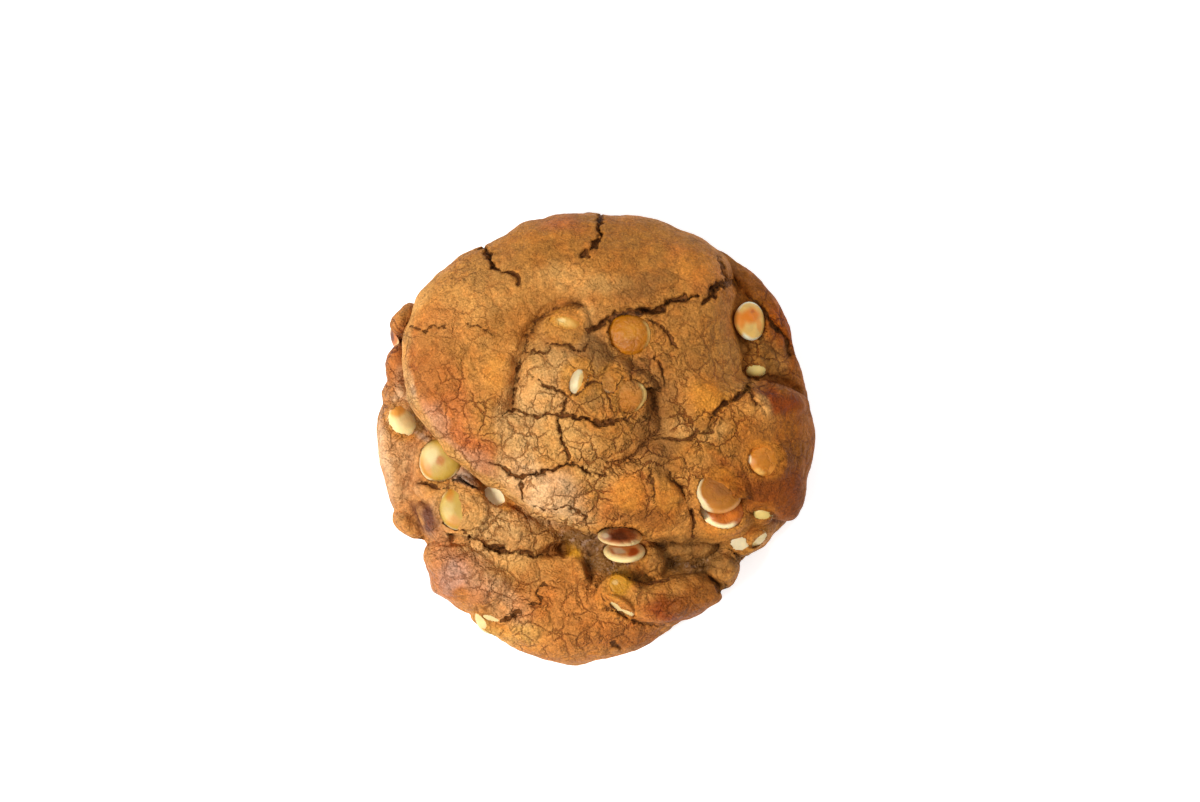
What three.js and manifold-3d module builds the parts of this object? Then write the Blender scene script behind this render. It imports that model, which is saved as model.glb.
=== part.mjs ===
// A thick baked cookie with white chocolate chips: one solid of dough, and each chip that shows pressed into it.
// Millimetres, +Z up. X and Y run across the cookie, and the origin is the middle of its flat base.
// The dough is built as the real one bakes: lobes that ran into each other, then a crust that split.
import * as THREE from "three";
import { mergeVertices } from "three/addons/utils/BufferGeometryUtils.js";
import Module from "manifold-3d";

const wasm = await Module();
wasm.setup();

// Driving dimensions.
const chipDiameter = 10;
const chipThickness = 3.8;
const socketGap = 0.3; // left round each chip
const height = { foot: 6, crustRim: 13.5, floor: 15, shelf: 18, lip: 18.5, crust: 27.5, mound: 31 };
const footShare = { base: 0.93, lobe: 0.86 }; // the underside, as a share of the lobe above it
const rings = { lobe: 4, crust: 8, underside: 2 };
const edgeLift = 0.4; // outer lobes curl up this much off the flat base
const wedge = { above: 1.2, zigzag: 0.25, stepLength: 3 }; // how a split's cutter stands proud and strays
const bump = { shoulder: 1.4, depth: 4 }; // how far a covered chip's swelling reaches down into the crust

// Each lobe is a pebble of dough. Its outline is a smooth closed curve through a few points [x, y], seen from
// above. rim is the height of its widest line, crown its top and keel its underside. fullness is how square its
// shoulder is: 2 is a plain dome, 5 is flat on top. rise adds to the rim towards one direction, in degrees.
const lobes = [
  {
    name: "base", centre: [0, 0], rim: height.foot, crown: height.floor, keel: 0, fullness: 5, sides: 54,
    outline: [
      [51.2, 0], [50, 14], [44.6, 30.5], [33, 43], [16, 50], [-2, 52.2], [-18.6, 48.1], [-33, 39.8], [-43, 29],
      [-48.4, 15], [-50.4, 0], [-47.6, -16], [-39, -27.5], [-36, -36], [-24, -46], [-6, -52], [13, -48],
      [28, -38], [36, -28.8], [46, -20], [50.6, -9],
    ],
  },
  {
    name: "upperCrust", centre: [4, 11], rim: height.crustRim, crown: height.crust, keel: 4, fullness: 3.2,
    sides: 66, rise: { towards: 228, by: height.lip - height.crustRim }, sunken: true,
    outline: [
      [52.2, -2], [51, 8.5], [46, 12], [41, 13.6], [36.4, 15], [34.8, 22], [33.6, 29], [33.8, 36], [31.4, 43.4],
      [20.5, 49.8], [9, 53.2], [-4, 53.5], [-15, 51.8], [-25.5, 46.6], [-34, 42], [-41, 35.2], [-45, 28],
      [-45.9, 20],
      [-45, 11.5], [-41.5, 4], [-36, -2.8], [-30, -8.2], [-22, -13.4], [-14, -18.8], [-6, -21.3], [4, -24],
      [13, -24.6], [24, -25.2], [33, -24.4], [41, -19.8], [47.5, -19.6], [50.5, -13.5],
    ],
  },
  {
    name: "mound", centre: [-4, 14], rim: 23, crown: height.mound, keel: 16, fullness: 2.6, sides: 32,
    outline: [
      [13, 4], [10, 13], [4.5, 20.5], [-0.5, 26.5], [-5, 31], [-11, 29.3], [-15.5, 24], [-18, 16], [-19, 8],
      [-15, 0], [-7, -5], [3, -6.5], [10.5, -3],
    ],
  },
  {
    name: "shelf", centre: [-26, -19], rim: 13, crown: height.shelf, keel: 5, fullness: 3, sides: 30,
    outline: [
      [-43.5, -11.5], [-40, -16.5], [-36, -22], [-28, -25.5], [-19, -27.6], [-12.5, -28], [-8.5, -25.5],
      [-12, -20.8], [-20, -16], [-27, -12.6], [-33, -10], [-39, -9.6],
    ],
  },
  {
    name: "southWest", centre: [-30, -33], rim: 7.5, crown: 17, keel: edgeLift, fullness: 2.8, sides: 30,
    outline: [
      [-41.3, -28.5], [-39.8, -33.5], [-38.8, -37], [-33.5, -40], [-28, -42.7], [-21.5, -43.6], [-18, -38],
      [-20, -31.5], [-26, -27], [-34, -24.4], [-39, -25],
    ],
  },
  {
    name: "south", centre: [-6, -41], rim: height.foot, crown: 17, keel: edgeLift, fullness: 3, sides: 40,
    outline: [
      [-29.5, -43], [-24, -48], [-16, -51.9], [-6, -54.3], [5, -52.4], [12, -50.2], [18, -45.8], [20, -41],
      [12, -34], [0, -29.5], [-9, -28.8], [-18, -30.4], [-25, -36],
    ],
  },
  {
    name: "southFlap", centre: [15, -38.3], rim: 15, crown: 20.5, keel: 6, fullness: 2.6, sides: 30,
    outline: [
      [29, -37.6], [24, -33.2], [17, -33], [11, -34.6], [4.5, -32.6], [0.4, -36.5], [2.5, -39.6], [8, -42.6],
      [14, -44.4], [20, -43.8], [26.5, -41.2],
    ],
  },
  {
    name: "west", centre: [-47, -4], rim: height.foot, crown: 13.5, keel: edgeLift, fullness: 2.6, sides: 20,
    outline: [
      [-52.5, 3], [-51.7, -5], [-49.9, -12.5], [-47.5, -18], [-43.5, -15], [-41.8, -6], [-42.5, 3], [-47, 8.2],
      [-51, 7.6],
    ],
  },
  {
    name: "eastBelow", centre: [38, -21.5], rim: 9, crown: 16, keel: edgeLift, fullness: 2.6, sides: 16,
    outline: [[43.5, -21.6], [42.6, -17.6], [38, -17], [33, -20], [32, -26.5], [35.5, -28.4], [40.5, -25.7]],
  },
  ...[
    { name: "westUpper", at: [-47.4, 10.6], size: [3.4, 3.4], turn: 0, rim: 8, crown: 13.5, keel: edgeLift },
    { name: "westTop", at: [-47, 17.6], size: [3.2, 4.6], turn: -10, rim: 8, crown: 13.5, keel: edgeLift },
    { name: "westShoulder", at: [-45.6, 28.2], size: [3, 4.2], turn: -30, rim: 11, crown: 16.5, keel: 3 },
    { name: "burntLump", at: [-38.4, -20.4], size: [6.3, 2.7], turn: -52, rim: 11, crown: 17, keel: 5 },
    { name: "edgeLump", at: [-44.6, -20.8], size: [4.6, 2.6], turn: -42, rim: 6.5, crown: 11.5, keel: edgeLift },
    { name: "brownedKnob", at: [43.6, 9.4], size: [7, 3.8], turn: -24, rim: 18, crown: 22.5, keel: 12 },
    { name: "foldUpper", at: [22, -26.6], size: [7, 2.5], turn: 6, rim: 13, crown: 17, keel: 6 },
    { name: "foldLower", at: [30, -30.8], size: [4, 4.2], turn: 0, rim: 11, crown: 15.5, keel: 5 },
    { name: "foldBetween", at: [22.6, -30], size: [3.8, 2.3], turn: -30, rim: 11, crown: 14.6, keel: 5 },
    { name: "peak", at: [14, -29.4], size: [3, 4.8], turn: 14, rim: 14, crown: 19, keel: 6 },
    { name: "ridge", at: [-3.8, -31], size: [2, 5.6], turn: 12, rim: 14, crown: 18, keel: 6 },
    { name: "northNub", at: [-1, 52], size: [2.8, 1.9], turn: 0, rim: 7, crown: 13, keel: edgeLift },
  ].map((lump) => ({ ...lump, centre: lump.at, fullness: 2.2, sides: 12, outline: ellipse(lump) })),
];

// Chips wholly under the crust, which only swell it: [x, y], half sizes and turn, and how far they stand up.
const coveredChips = [
  { at: [26.5, 10.5], size: [4.9, 4.7], turn: 0, swell: 1.5 },
  { at: [8, -13.2], size: [5, 5], turn: 0, swell: 1.4 },
  { at: [17, -13.5], size: [3.8, 5.2], turn: 10, swell: 1.1 },
  { at: [-22.5, 15.5], size: [4.4, 5], turn: 0, swell: 0.9 },
  { at: [24, 41], size: [5.6, 4.6], turn: -30, swell: 1.2 },
  { at: [-10, -14], size: [5.6, 5], turn: 0, swell: 1 },
  { at: [29.5, -22.4], size: [4.8, 2.4], turn: 5, swell: 1.4 },
];

// Soft valleys, beside the mound and where plates of crust sank: path [x, y], half width and depth.
const valleys = [
  { path: [[-3, 32.5], [-9, 32.3], [-14.5, 29.5], [-18, 24], [-20.3, 16], [-21, 8]], width: 4, depth: 2.6 },
  { path: [[9, 20], [13, 13], [15.5, 6], [14.5, -0.5], [9.5, -5]], width: 3.2, depth: 2.6 },
  { path: [[12, 26], [20, 24], [28, 22], [34, 18]], width: 8, depth: 1.4 },
  { path: [[17, -7], [20.5, -12], [23, -18], [24, -24]], width: 2.6, depth: 1.8 },
];

// Splits in the crust: path [x, y], width across the open top and depth.
const splits = [
  { path: [[-1.5, 25.6], [2, 27], [5.5, 29], [10, 30], [15, 30], [17.4, 32], [23.5, 33.4]], width: 1.5, depth: 3 },
  { path: [[25.4, 31.8], [28, 34], [29.2, 36], [32.5, 37.6]], width: 1.9, depth: 3.2 },
  { path: [[2, 55], [1, 50.5], [1.2, 47.5], [-0.8, 44.8], [-3, 42.8]], width: 1.6, depth: 3 },
  { path: [[-27, 47.5], [-25.4, 44], [-24.6, 41], [-23, 40], [-20, 39.3], [-18.4, 36.6]], width: 2.2, depth: 3.4 },
  { path: [[36.8, 14.6], [34, 10.2], [31, 7.4], [27, 3.9], [21, -0.5], [16, 0.2]], width: 1.4, depth: 2.4 },
  { path: [[-16.5, 6.2], [-13.5, 5], [-7, 5.5], [-1, 4], [3, 3.2], [7, 4.7]], width: 1, depth: 1.6 },
  { path: [[-5, 10.2], [-7.6, 6.4], [-8.6, 2.5], [-7.2, -2], [-5.4, -6]], width: 1, depth: 1.5 },
  { path: [[-22, -7.3], [-18, -9], [-12, -8.2], [-6, -6.2], [-1.5, -8.4], [2.8, -9]], width: 1.1, depth: 1.8 },
  { path: [[-35, -21.4], [-30, -23.6], [-25, -26.2], [-19, -27.3], [-12, -28.2]], width: 1.7, depth: 4 },
  { path: [[37, 34.4], [40.4, 31], [43.4, 26], [45.6, 21.8], [46.2, 18.4]], width: 1.2, depth: 2 },
  { path: [[-47.8, 3.4], [-46.4, 1.4], [-44.5, 0.4]], width: 1, depth: 1.4 },
  { path: [[-43.5, -11.4], [-40, -11.2], [-37, -11.9], [-34, -11.1]], width: 1.2, depth: 1.8 },
];

// The chips that show. at is [x, y]; lift is the chip's middle above the dough that it was pressed into. The
// face leans by tilt degrees towards the direction lean, in degrees from +X. size scales the diameter.
const chips = [
  { name: "chip_mound_top", at: [-7, 26.6], lift: -0.9, tilt: 14, lean: 60, size: 0.86 },
  { name: "chip_caramel", at: [8, 24.4], lift: -0.2, tilt: 9, lean: 190, size: 1.02 },
  { name: "chip_mound_edge_on", at: [-4.7, 14.3], lift: -2.7, tilt: 62, lean: 158, size: 0.8 },
  { name: "chip_mound_small", at: [4, 13.6], lift: -0.4, tilt: 12, lean: 100, size: 0.62 },
  { name: "chip_mound_disc", at: [7.9, 9.9], lift: 0.3, tilt: 10, lean: 160, size: 0.94 },
  { name: "chip_east_toasted", at: [37.2, 27.9], lift: 0.6, tilt: 34, lean: 15, size: 0.98 },
  { name: "chip_east_sunk", at: [38.2, 17.6], lift: -0.5, tilt: 26, lean: 80, size: 0.66 },
  { name: "chip_east_melted", at: [40.4, -5.4], lift: -0.4, tilt: 16, lean: -20, size: 0.86 },
  { name: "chip_pair_upper", at: [29.6, -12.7], lift: 1, tilt: 22, lean: 50, size: 1.08 },
  { name: "chip_pair_lower", at: [30.3, -16.6], lift: -1.2, tilt: 22, lean: 60, size: 1.06 },
  { name: "chip_lip_burnt", at: [6, -23.2], lift: 1.3, tilt: 50, lean: 88, size: 1.04 },
  { name: "chip_lip_below", at: [7, -26.9], lift: 1.9, tilt: 48, lean: 92, size: 1.02 },
  { name: "chip_white_disc", at: [-37.2, -5.7], lift: 1, tilt: 14, lean: 215, size: 1.06 },
  { name: "chip_west_tucked", at: [-45.5, 4.2], lift: 0.2, tilt: 48, lean: 40, size: 0.84 },
  { name: "chip_under_lip", at: [-23.4, -13.6], lift: -1.2, tilt: 30, lean: 220, size: 0.66 },
  { name: "chip_shelf_disc", at: [-32.3, -17], lift: 0.1, tilt: 26, lean: 185, size: 1.08 },
  { name: "chip_south_east_sliver", at: [39.8, -18.4], lift: -0.2, tilt: 30, lean: 250, size: 0.5 },
  { name: "chip_south_east_white", at: [34.5, -25], lift: -0.1, tilt: 18, lean: 240, size: 0.5 },
  { name: "chip_south_east_rim", at: [38.6, -24.2], lift: 0, tilt: 38, lean: 300, size: 0.58 },
  { name: "chip_flap_yellow", at: [5.6, -35.4], lift: -0.5, tilt: 10, lean: 120, size: 0.62 },
  { name: "chip_flap_edge", at: [5.2, -40.1], lift: -0.4, tilt: 46, lean: 240, size: 0.5 },
  { name: "chip_west_rim", at: [-46.4, 23.6], lift: -0.6, tilt: 58, lean: 200, size: 0.84 },
  { name: "chip_south_west_rim", at: [-24.8, -43.5], lift: -0.4, tilt: 34, lean: 235, size: 0.76 },
];

// Points [x, y] round an ellipse of the given half sizes, turned by degrees.
function ellipse({ at, size, turn }, count = 8) {
  const angle = THREE.MathUtils.degToRad(turn);
  return Array.from({ length: count }, (_, i) => {
    const a = (i / count) * 2 * Math.PI;
    const point = new THREE.Vector2(at[0] + size[0] * Math.cos(a), at[1] + size[1] * Math.sin(a));
    return point.rotateAround(new THREE.Vector2(...at), angle).toArray();
  });
}

// A crumbly edge: how far the outline strays outwards at an angle about the cookie's middle.
function edgeWobble(x, y) {
  const a = Math.atan2(y, x);
  return 0.25 * Math.sin(11 * a + 1) + 0.2 * Math.sin(23 * a + 2) + 0.12 * Math.sin(41 * a);
}

// Low swells all over the dough.
function undulation(x, y) {
  return 0.45 * Math.sin(0.21 * x + 0.4) * Math.cos(0.19 * y - 0.8) + 0.3 * Math.sin(0.37 * x - 0.29 * y + 1);
}

function distanceToPath(x, y, path) {
  const point = new THREE.Vector3(x, y, 0);
  const nearest = new THREE.Vector3();
  let best = Infinity;
  for (let i = 0; i + 1 < path.length; i++) {
    const from = new THREE.Vector3(...path[i], 0);
    const to = new THREE.Vector3(...path[i + 1], 0);
    new THREE.Line3(from, to).closestPointToPoint(point, true, nearest);
    best = Math.min(best, nearest.distanceTo(point));
  }
  return best;
}

// How far the soft valleys lower the crust here.
function valleyDepth(x, y) {
  return valleys.reduce((sum, valley) => {
    const near = distanceToPath(x, y, valley.path) / valley.width;
    return sum + valley.depth * Math.exp(-near * near);
  }, 0);
}

// A closed solid from rows of points: a top pole, rows of equal length, and a bottom pole.
function shellGeometry(top, rows, bottom) {
  const positions = [...top, ...rows.flat(2), ...bottom];
  const count = rows[0].length;
  const faces = [];
  const index = (row, i) => 1 + row * count + (i % count);
  const last = 1 + rows.length * count;
  for (let i = 0; i < count; i++) {
    faces.push(0, index(0, i), index(0, i + 1));
    faces.push(last, index(rows.length - 1, i + 1), index(rows.length - 1, i));
    for (let row = 0; row + 1 < rows.length; row++) {
      faces.push(index(row, i), index(row + 1, i), index(row + 1, i + 1));
      faces.push(index(row, i), index(row + 1, i + 1), index(row, i + 1));
    }
  }
  const geometry = new THREE.BufferGeometry();
  geometry.setAttribute("position", new THREE.Float32BufferAttribute(positions, 3));
  geometry.setIndex(faces);
  return geometry;
}

// One lobe. Its rows are the outline drawn in towards the centre; phi runs from the crown to the widest line,
// where the share of the outline is sin(phi)^(2 / fullness) and the share of the height is cos(phi).
function lobeGeometry(lobe) {
  const [cx, cy] = lobe.centre;
  const corners = lobe.outline.map(([x, y]) => new THREE.Vector3(x, y, 0));
  const curve = new THREE.CatmullRomCurve3(corners, true, "catmullrom", 0.5);
  const edge = curve.getSpacedPoints(lobe.sides).slice(0, lobe.sides);
  const rimAt = (x, y) => {
    if (!lobe.rise) return lobe.rim;
    const towards = THREE.MathUtils.degToRad(lobe.rise.towards);
    return lobe.rim + lobe.rise.by * Math.cos(Math.atan2(y - cy, x - cx) - towards);
  };
  const topPoint = (share, rise, corner) => {
    const stray = share * (1 + edgeWobble(corner.x, corner.y) / Math.hypot(corner.x - cx, corner.y - cy));
    const x = cx + (corner.x - cx) * stray;
    const y = cy + (corner.y - cy) * stray;
    const rim = rimAt(corner.x, corner.y);
    const lowered = lobe.sunken ? valleyDepth(x, y) : 0;
    return [x, y, rim + (lobe.crown - rim + undulation(x, y) - lowered) * rise];
  };
  const rows = [];
  const steps = lobe.sunken ? rings.crust : rings.lobe;
  const foot = lobe.keel ? footShare.lobe : footShare.base;
  for (let i = 1; i <= steps; i++) {
    const phi = (i / steps) * (Math.PI / 2);
    const share = Math.pow(Math.sin(phi), 2 / lobe.fullness);
    rows.push(edge.map((corner) => topPoint(share, Math.cos(phi), corner)));
  }
  for (let i = 1; i <= rings.underside; i++) {
    const phi = (i / rings.underside) * (Math.PI / 2);
    const share = 1 - (1 - foot) * (1 - Math.cos(phi));
    rows.push(edge.map((corner) => {
      const [x, y, rim] = topPoint(share, 0, corner);
      return [x, y, rim - (rim - lobe.keel) * Math.sin(phi)];
    }));
  }
  const [tx, ty, tz] = topPoint(0, 1, new THREE.Vector3(cx + 1, cy, 0));
  return shellGeometry([tx, ty, tz], rows, [cx, cy, lobe.keel]);
}

// A split: a V-shaped wedge that follows the crust along the path and fades out at both ends.
function splitGeometry(split, surfaceAt) {
  const curve = new THREE.CatmullRomCurve3(split.path.map(([x, y]) => new THREE.Vector3(x, y, 0)));
  const steps = Math.max(4, Math.round(curve.getLength() / wedge.stepLength));
  const positions = [];
  for (let i = 0; i <= steps; i++) {
    const point = curve.getPointAt(i / steps);
    const along = curve.getTangentAt(i / steps);
    const fade = 0.25 + 0.75 * Math.sqrt(Math.sin(Math.PI * THREE.MathUtils.clamp(i / steps, 0.03, 0.97)));
    const depth = split.depth * fade;
    const half = ((split.width * fade) / 2) * ((depth + wedge.above) / depth);
    const zigzag = wedge.zigzag * (i % 2 ? 1 : -1);
    const [nx, ny] = [-along.y, along.x];
    const z = surfaceAt(point.x, point.y);
    positions.push(point.x + nx * (half + zigzag), point.y + ny * (half + zigzag), z + wedge.above);
    positions.push(point.x - nx * (half - zigzag), point.y - ny * (half - zigzag), z + wedge.above);
    positions.push(point.x, point.y, z - depth);
  }
  const end = 3 * steps;
  const faces = [0, 2, 1, end, end + 1, end + 2];
  for (let a = 0; a < end; a += 3) {
    const b = a + 3;
    for (const [p, q] of [[0, 1], [1, 2], [2, 0]]) faces.push(a + p, b + q, b + p, a + p, a + q, b + q);
  }
  const geometry = new THREE.BufferGeometry();
  geometry.setAttribute("position", new THREE.Float32BufferAttribute(positions, 3));
  geometry.setIndex(faces);
  return geometry;
}

// A chip lies on its flat side: a low drop with a rounded shoulder. grow makes the larger shape of its socket.
function chipGeometry(size, grow) {
  const radius = (chipDiameter / 2) * size + grow;
  const thick = chipThickness * (0.55 + 0.45 * size) + 2 * grow;
  const profile = [[0, 0], [0.8, 0], [1, 0.35], [0.92, 0.75], [0.5, 0.97], [0, 1]];
  const points = profile.map(([r, z]) => new THREE.Vector2(r * radius, (z - 0.5) * thick));
  return new THREE.LatheGeometry(points, 10).rotateX(Math.PI / 2);
}

function solidOf(geometry) {
  const bare = geometry.clone();
  bare.deleteAttribute("normal");
  bare.deleteAttribute("uv");
  const merged = mergeVertices(bare, 1e-4);
  return new wasm.Manifold(new wasm.Mesh({
    numProp: 3,
    vertProperties: new Float32Array(merged.attributes.position.array),
    triVerts: new Uint32Array(merged.index.array),
  }));
}

function geometryOf(solid) {
  const mesh = solid.getMesh();
  const geometry = new THREE.BufferGeometry();
  geometry.setAttribute("position", new THREE.BufferAttribute(mesh.vertProperties, 3));
  geometry.setIndex(new THREE.BufferAttribute(mesh.triVerts, 1));
  geometry.computeVertexNormals();
  return geometry;
}

// The largest body of a solid: a cut can leave loose crumbs behind.
function withoutCrumbs(solid) {
  return solid.decompose().sort((a, b) => b.volume() - a.volume())[0];
}

// A function that gives the height of a solid's upper surface at [x, y].
function surfaceFinder(solid) {
  const surface = new THREE.Mesh(geometryOf(solid), new THREE.MeshBasicMaterial({ side: THREE.DoubleSide }));
  const ray = new THREE.Raycaster();
  return (x, y) => {
    ray.set(new THREE.Vector3(x, y, 2 * height.mound), new THREE.Vector3(0, 0, -1));
    const hits = ray.intersectObject(surface);
    return hits.length ? hits[0].point.z : height.foot;
  };
}

function buildDough() {
  let dough = lobes.map((lobe) => solidOf(lobeGeometry(lobe))).reduce((sum, solid) => sum.add(solid));
  const crustAt = surfaceFinder(dough);
  for (const covered of coveredChips) {
    const z = crustAt(...covered.at);
    dough = dough.add(solidOf(lobeGeometry({
      centre: covered.at, outline: ellipse(covered), sides: 12, fullness: 2.2,
      rim: z - bump.shoulder, crown: z + covered.swell, keel: z - bump.depth,
    })));
  }
  const doughAt = surfaceFinder(dough);
  for (const split of splits) dough = dough.subtract(solidOf(splitGeometry(split, doughAt)));
  return dough;
}

// Where a chip's middle lies, and how it is turned.
function chipPlacement(chip, doughAt) {
  const tilt = THREE.MathUtils.degToRad(chip.tilt);
  const lean = THREE.MathUtils.degToRad(chip.lean);
  const across = new THREE.Vector3(-Math.sin(lean), Math.cos(lean), 0);
  const turn = new THREE.Quaternion().setFromAxisAngle(across, tilt);
  const place = new THREE.Vector3(...chip.at, doughAt(...chip.at) + chip.lift);
  return new THREE.Matrix4().compose(place, turn, new THREE.Vector3(1, 1, 1));
}

const materials = {
  dough: new THREE.MeshStandardMaterial({ color: 0xb9803f, roughness: 0.8, metalness: 0 }),
  chip: new THREE.MeshStandardMaterial({ color: 0xf0dfae, roughness: 0.45, metalness: 0 }),
  toasted: new THREE.MeshStandardMaterial({ color: 0xc9853f, roughness: 0.5, metalness: 0 }),
};
const toastedChips = ["chip_caramel", "chip_east_melted", "chip_pair_upper", "chip_lip_burnt", "chip_mound_disc"];

const cookie = new THREE.Group();
let dough = buildDough();
const doughAt = surfaceFinder(dough);
let socketsSoFar = null;
for (const chip of chips) {
  const placement = chipPlacement(chip, doughAt);
  const socket = solidOf(chipGeometry(chip.size, socketGap).applyMatrix4(placement));
  let solid = solidOf(chipGeometry(chip.size, 0).applyMatrix4(placement));
  if (socketsSoFar) solid = withoutCrumbs(solid.subtract(socketsSoFar));
  dough = dough.subtract(socket);
  socketsSoFar = socketsSoFar ? socketsSoFar.add(socket) : socket;
  const material = toastedChips.includes(chip.name) ? materials.toasted : materials.chip;
  const mesh = new THREE.Mesh(geometryOf(solid), material);
  mesh.name = chip.name;
  cookie.add(mesh);
}
const doughMesh = new THREE.Mesh(geometryOf(withoutCrumbs(dough)), materials.dough);
doughMesh.name = "dough";
cookie.add(doughMesh);

export default cookie;
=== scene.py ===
# A thick baked cookie with white chocolate chips, seen from straight above.
# Shapes are worked out in millimetres, in the CAD model's frame, and become metres as each mesh is made.
import functools
import math

import bpy
import numpy as np
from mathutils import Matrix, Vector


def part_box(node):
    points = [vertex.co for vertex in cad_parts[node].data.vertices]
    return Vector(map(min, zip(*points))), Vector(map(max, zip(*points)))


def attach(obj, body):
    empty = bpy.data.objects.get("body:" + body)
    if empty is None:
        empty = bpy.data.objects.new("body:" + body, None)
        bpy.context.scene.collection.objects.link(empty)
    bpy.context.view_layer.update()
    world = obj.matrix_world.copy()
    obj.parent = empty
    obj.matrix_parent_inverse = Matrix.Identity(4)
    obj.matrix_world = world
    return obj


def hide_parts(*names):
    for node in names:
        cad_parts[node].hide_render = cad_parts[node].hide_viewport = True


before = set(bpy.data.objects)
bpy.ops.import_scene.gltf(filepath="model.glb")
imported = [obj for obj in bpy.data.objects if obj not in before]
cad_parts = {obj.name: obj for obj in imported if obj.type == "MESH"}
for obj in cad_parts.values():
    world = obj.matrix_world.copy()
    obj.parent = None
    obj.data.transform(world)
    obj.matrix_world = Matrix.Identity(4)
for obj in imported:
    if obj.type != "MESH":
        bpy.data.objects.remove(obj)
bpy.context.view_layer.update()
metresPerMm = 0.001


# 0 below low, 1 above high, and a smooth S between them.
def smoothStep(low, high, value):
    share = np.clip((value - low) / (high - low), 0, 1)
    return share * share * (3 - 2 * share)


# The larger of two heights, with the crease between them rounded over this many millimetres.
def smoothMax(first, second, blend):
    return np.maximum(first, second) + blend / 4 * np.clip(1 - abs(first - second) / blend, 0, 1) ** 2


# Soft noise from -1 to 1: random heights on a cubic lattice of this spacing, joined by smooth blends.
def softNoise(points, spacing, seed):
    side = 32
    shift = 200.37      # keeps every place above 0
    table = np.random.default_rng(seed).uniform(-1, 1, (side, side, side))
    place = points / spacing + shift
    cell = np.floor(place).astype(int)
    part = place - cell
    part = part * part * (3 - 2 * part)
    total = np.zeros(len(points))
    for corner in np.ndindex(2, 2, 2):
        weight = np.prod(np.where(corner, part, 1 - part), axis=1)
        i, j, k = ((cell + corner) % side).T
        total += weight * table[i, j, k]
    return total


# A sideways shift for each point, from -amount to amount, in three directions.
def wander(points, spacing, amount, seed):
    return amount * np.stack([softNoise(points, spacing, seed + i) for i in range(3)], 1)


# A smooth curve through points [x, y]: each span is the Catmull-Rom cubic of its four neighbours.
def smoothCurve(corners, closed, stepsPerSpan=12):
    corners = np.array(corners, float)
    count = len(corners)
    spans = count if closed else count - 1
    share = np.linspace(0, 1, stepsPerSpan, endpoint=False)[:, None]
    pieces = []
    for i in range(spans):
        picks = [i - 1, i, i + 1, i + 2]
        picks = [p % count for p in picks] if closed else [min(max(p, 0), count - 1) for p in picks]
        a, b, c, d = corners[picks]
        pieces.append(0.5 * (2 * b + (c - a) * share + (2 * a - 5 * b + 4 * c - d) * share**2
                             + (3 * b - a - 3 * c + d) * share**3))
    if not closed:
        pieces.append(corners[-1:])
    return np.vstack(pieces)


# Distance from each point to a path, and how far along the path the nearest place is, from 0 to 1. Points
# further away than reach get the distance reach.
def pathField(x, y, path, reach):
    line = smoothCurve(path, closed=False, stepsPerSpan=5)
    spans = np.diff(line, axis=0)
    lengths = np.hypot(*spans.T)
    before = np.concatenate([[0], np.cumsum(lengths)])
    distance = np.full(len(x), float(reach))
    along = np.zeros(len(x))
    low, high = line.min(0) - reach, line.max(0) + reach
    close = np.flatnonzero((x > low[0]) & (x < high[0]) & (y > low[1]) & (y < high[1]))
    px, py = x[close], y[close]
    best, bestAlong = distance[close], along[close]
    for (ax, ay), (sx, sy), length, start in zip(line, spans, lengths, before):
        share = np.clip(((px - ax) * sx + (py - ay) * sy) / length**2, 0, 1)
        gap = np.hypot(px - ax - share * sx, py - ay - share * sy)
        nearer = gap < best
        best = np.where(nearer, gap, best)
        bestAlong = np.where(nearer, (start + share * length) / before[-1], bestAlong)
    distance[close], along[close] = best, bestAlong
    return distance, along


# How far out in an ellipse: 0 at its middle, 1 on its edge.
def ellipseShare(x, y, at, size, turn=0):
    angle = math.radians(turn)
    dx, dy = x - at[0], y - at[1]
    u = dx * math.cos(angle) + dy * math.sin(angle)
    v = dy * math.cos(angle) - dx * math.sin(angle)
    return np.hypot(u / size[0], v / size[1])


# 1 well inside an ellipse and 0 well outside it, with a smooth fall between these two shares of its radius.
def softEllipse(x, y, inner, outer, at, size, turn=0):
    return 1 - smoothStep(inner, outer, ellipseShare(x, y, at, size, turn))


# A row of colours, moved towards another colour as far as each one's weight says.
def blend(colours, other, weight):
    return colours + (other - colours) * weight[:, None]


# A colour in sRGB, from 0 to 255, as linear light.
def linear(red, green, blue):
    share = np.array([red, green, blue]) / 255
    return np.where(share <= 0.04045, share / 12.92, ((share + 0.055) / 1.055) ** 2.4)


# A square grid of (n + 1)^2 places laid over a disc: t runs from 0 in the middle to 1 on the edge, with
# square rings of equal t becoming circles.
def discGrid(n):
    a, b = np.meshgrid(np.linspace(-1, 1, n + 1), np.linspace(-1, 1, n + 1))
    a, b = a.ravel(), b.ravel()
    t = np.maximum(abs(a), abs(b))
    wide = abs(a) >= abs(b)
    safeA = np.where(abs(a) < 1e-9, 1e-9, a)
    safeB = np.where(abs(b) < 1e-9, 1e-9, b)
    eighth = math.pi / 4
    angle = np.where(wide, eighth * b / safeA + np.where(a < 0, math.pi, 0),
                     math.pi / 2 - eighth * a / safeB + np.where(b < 0, math.pi, 0))
    return t, angle


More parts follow.
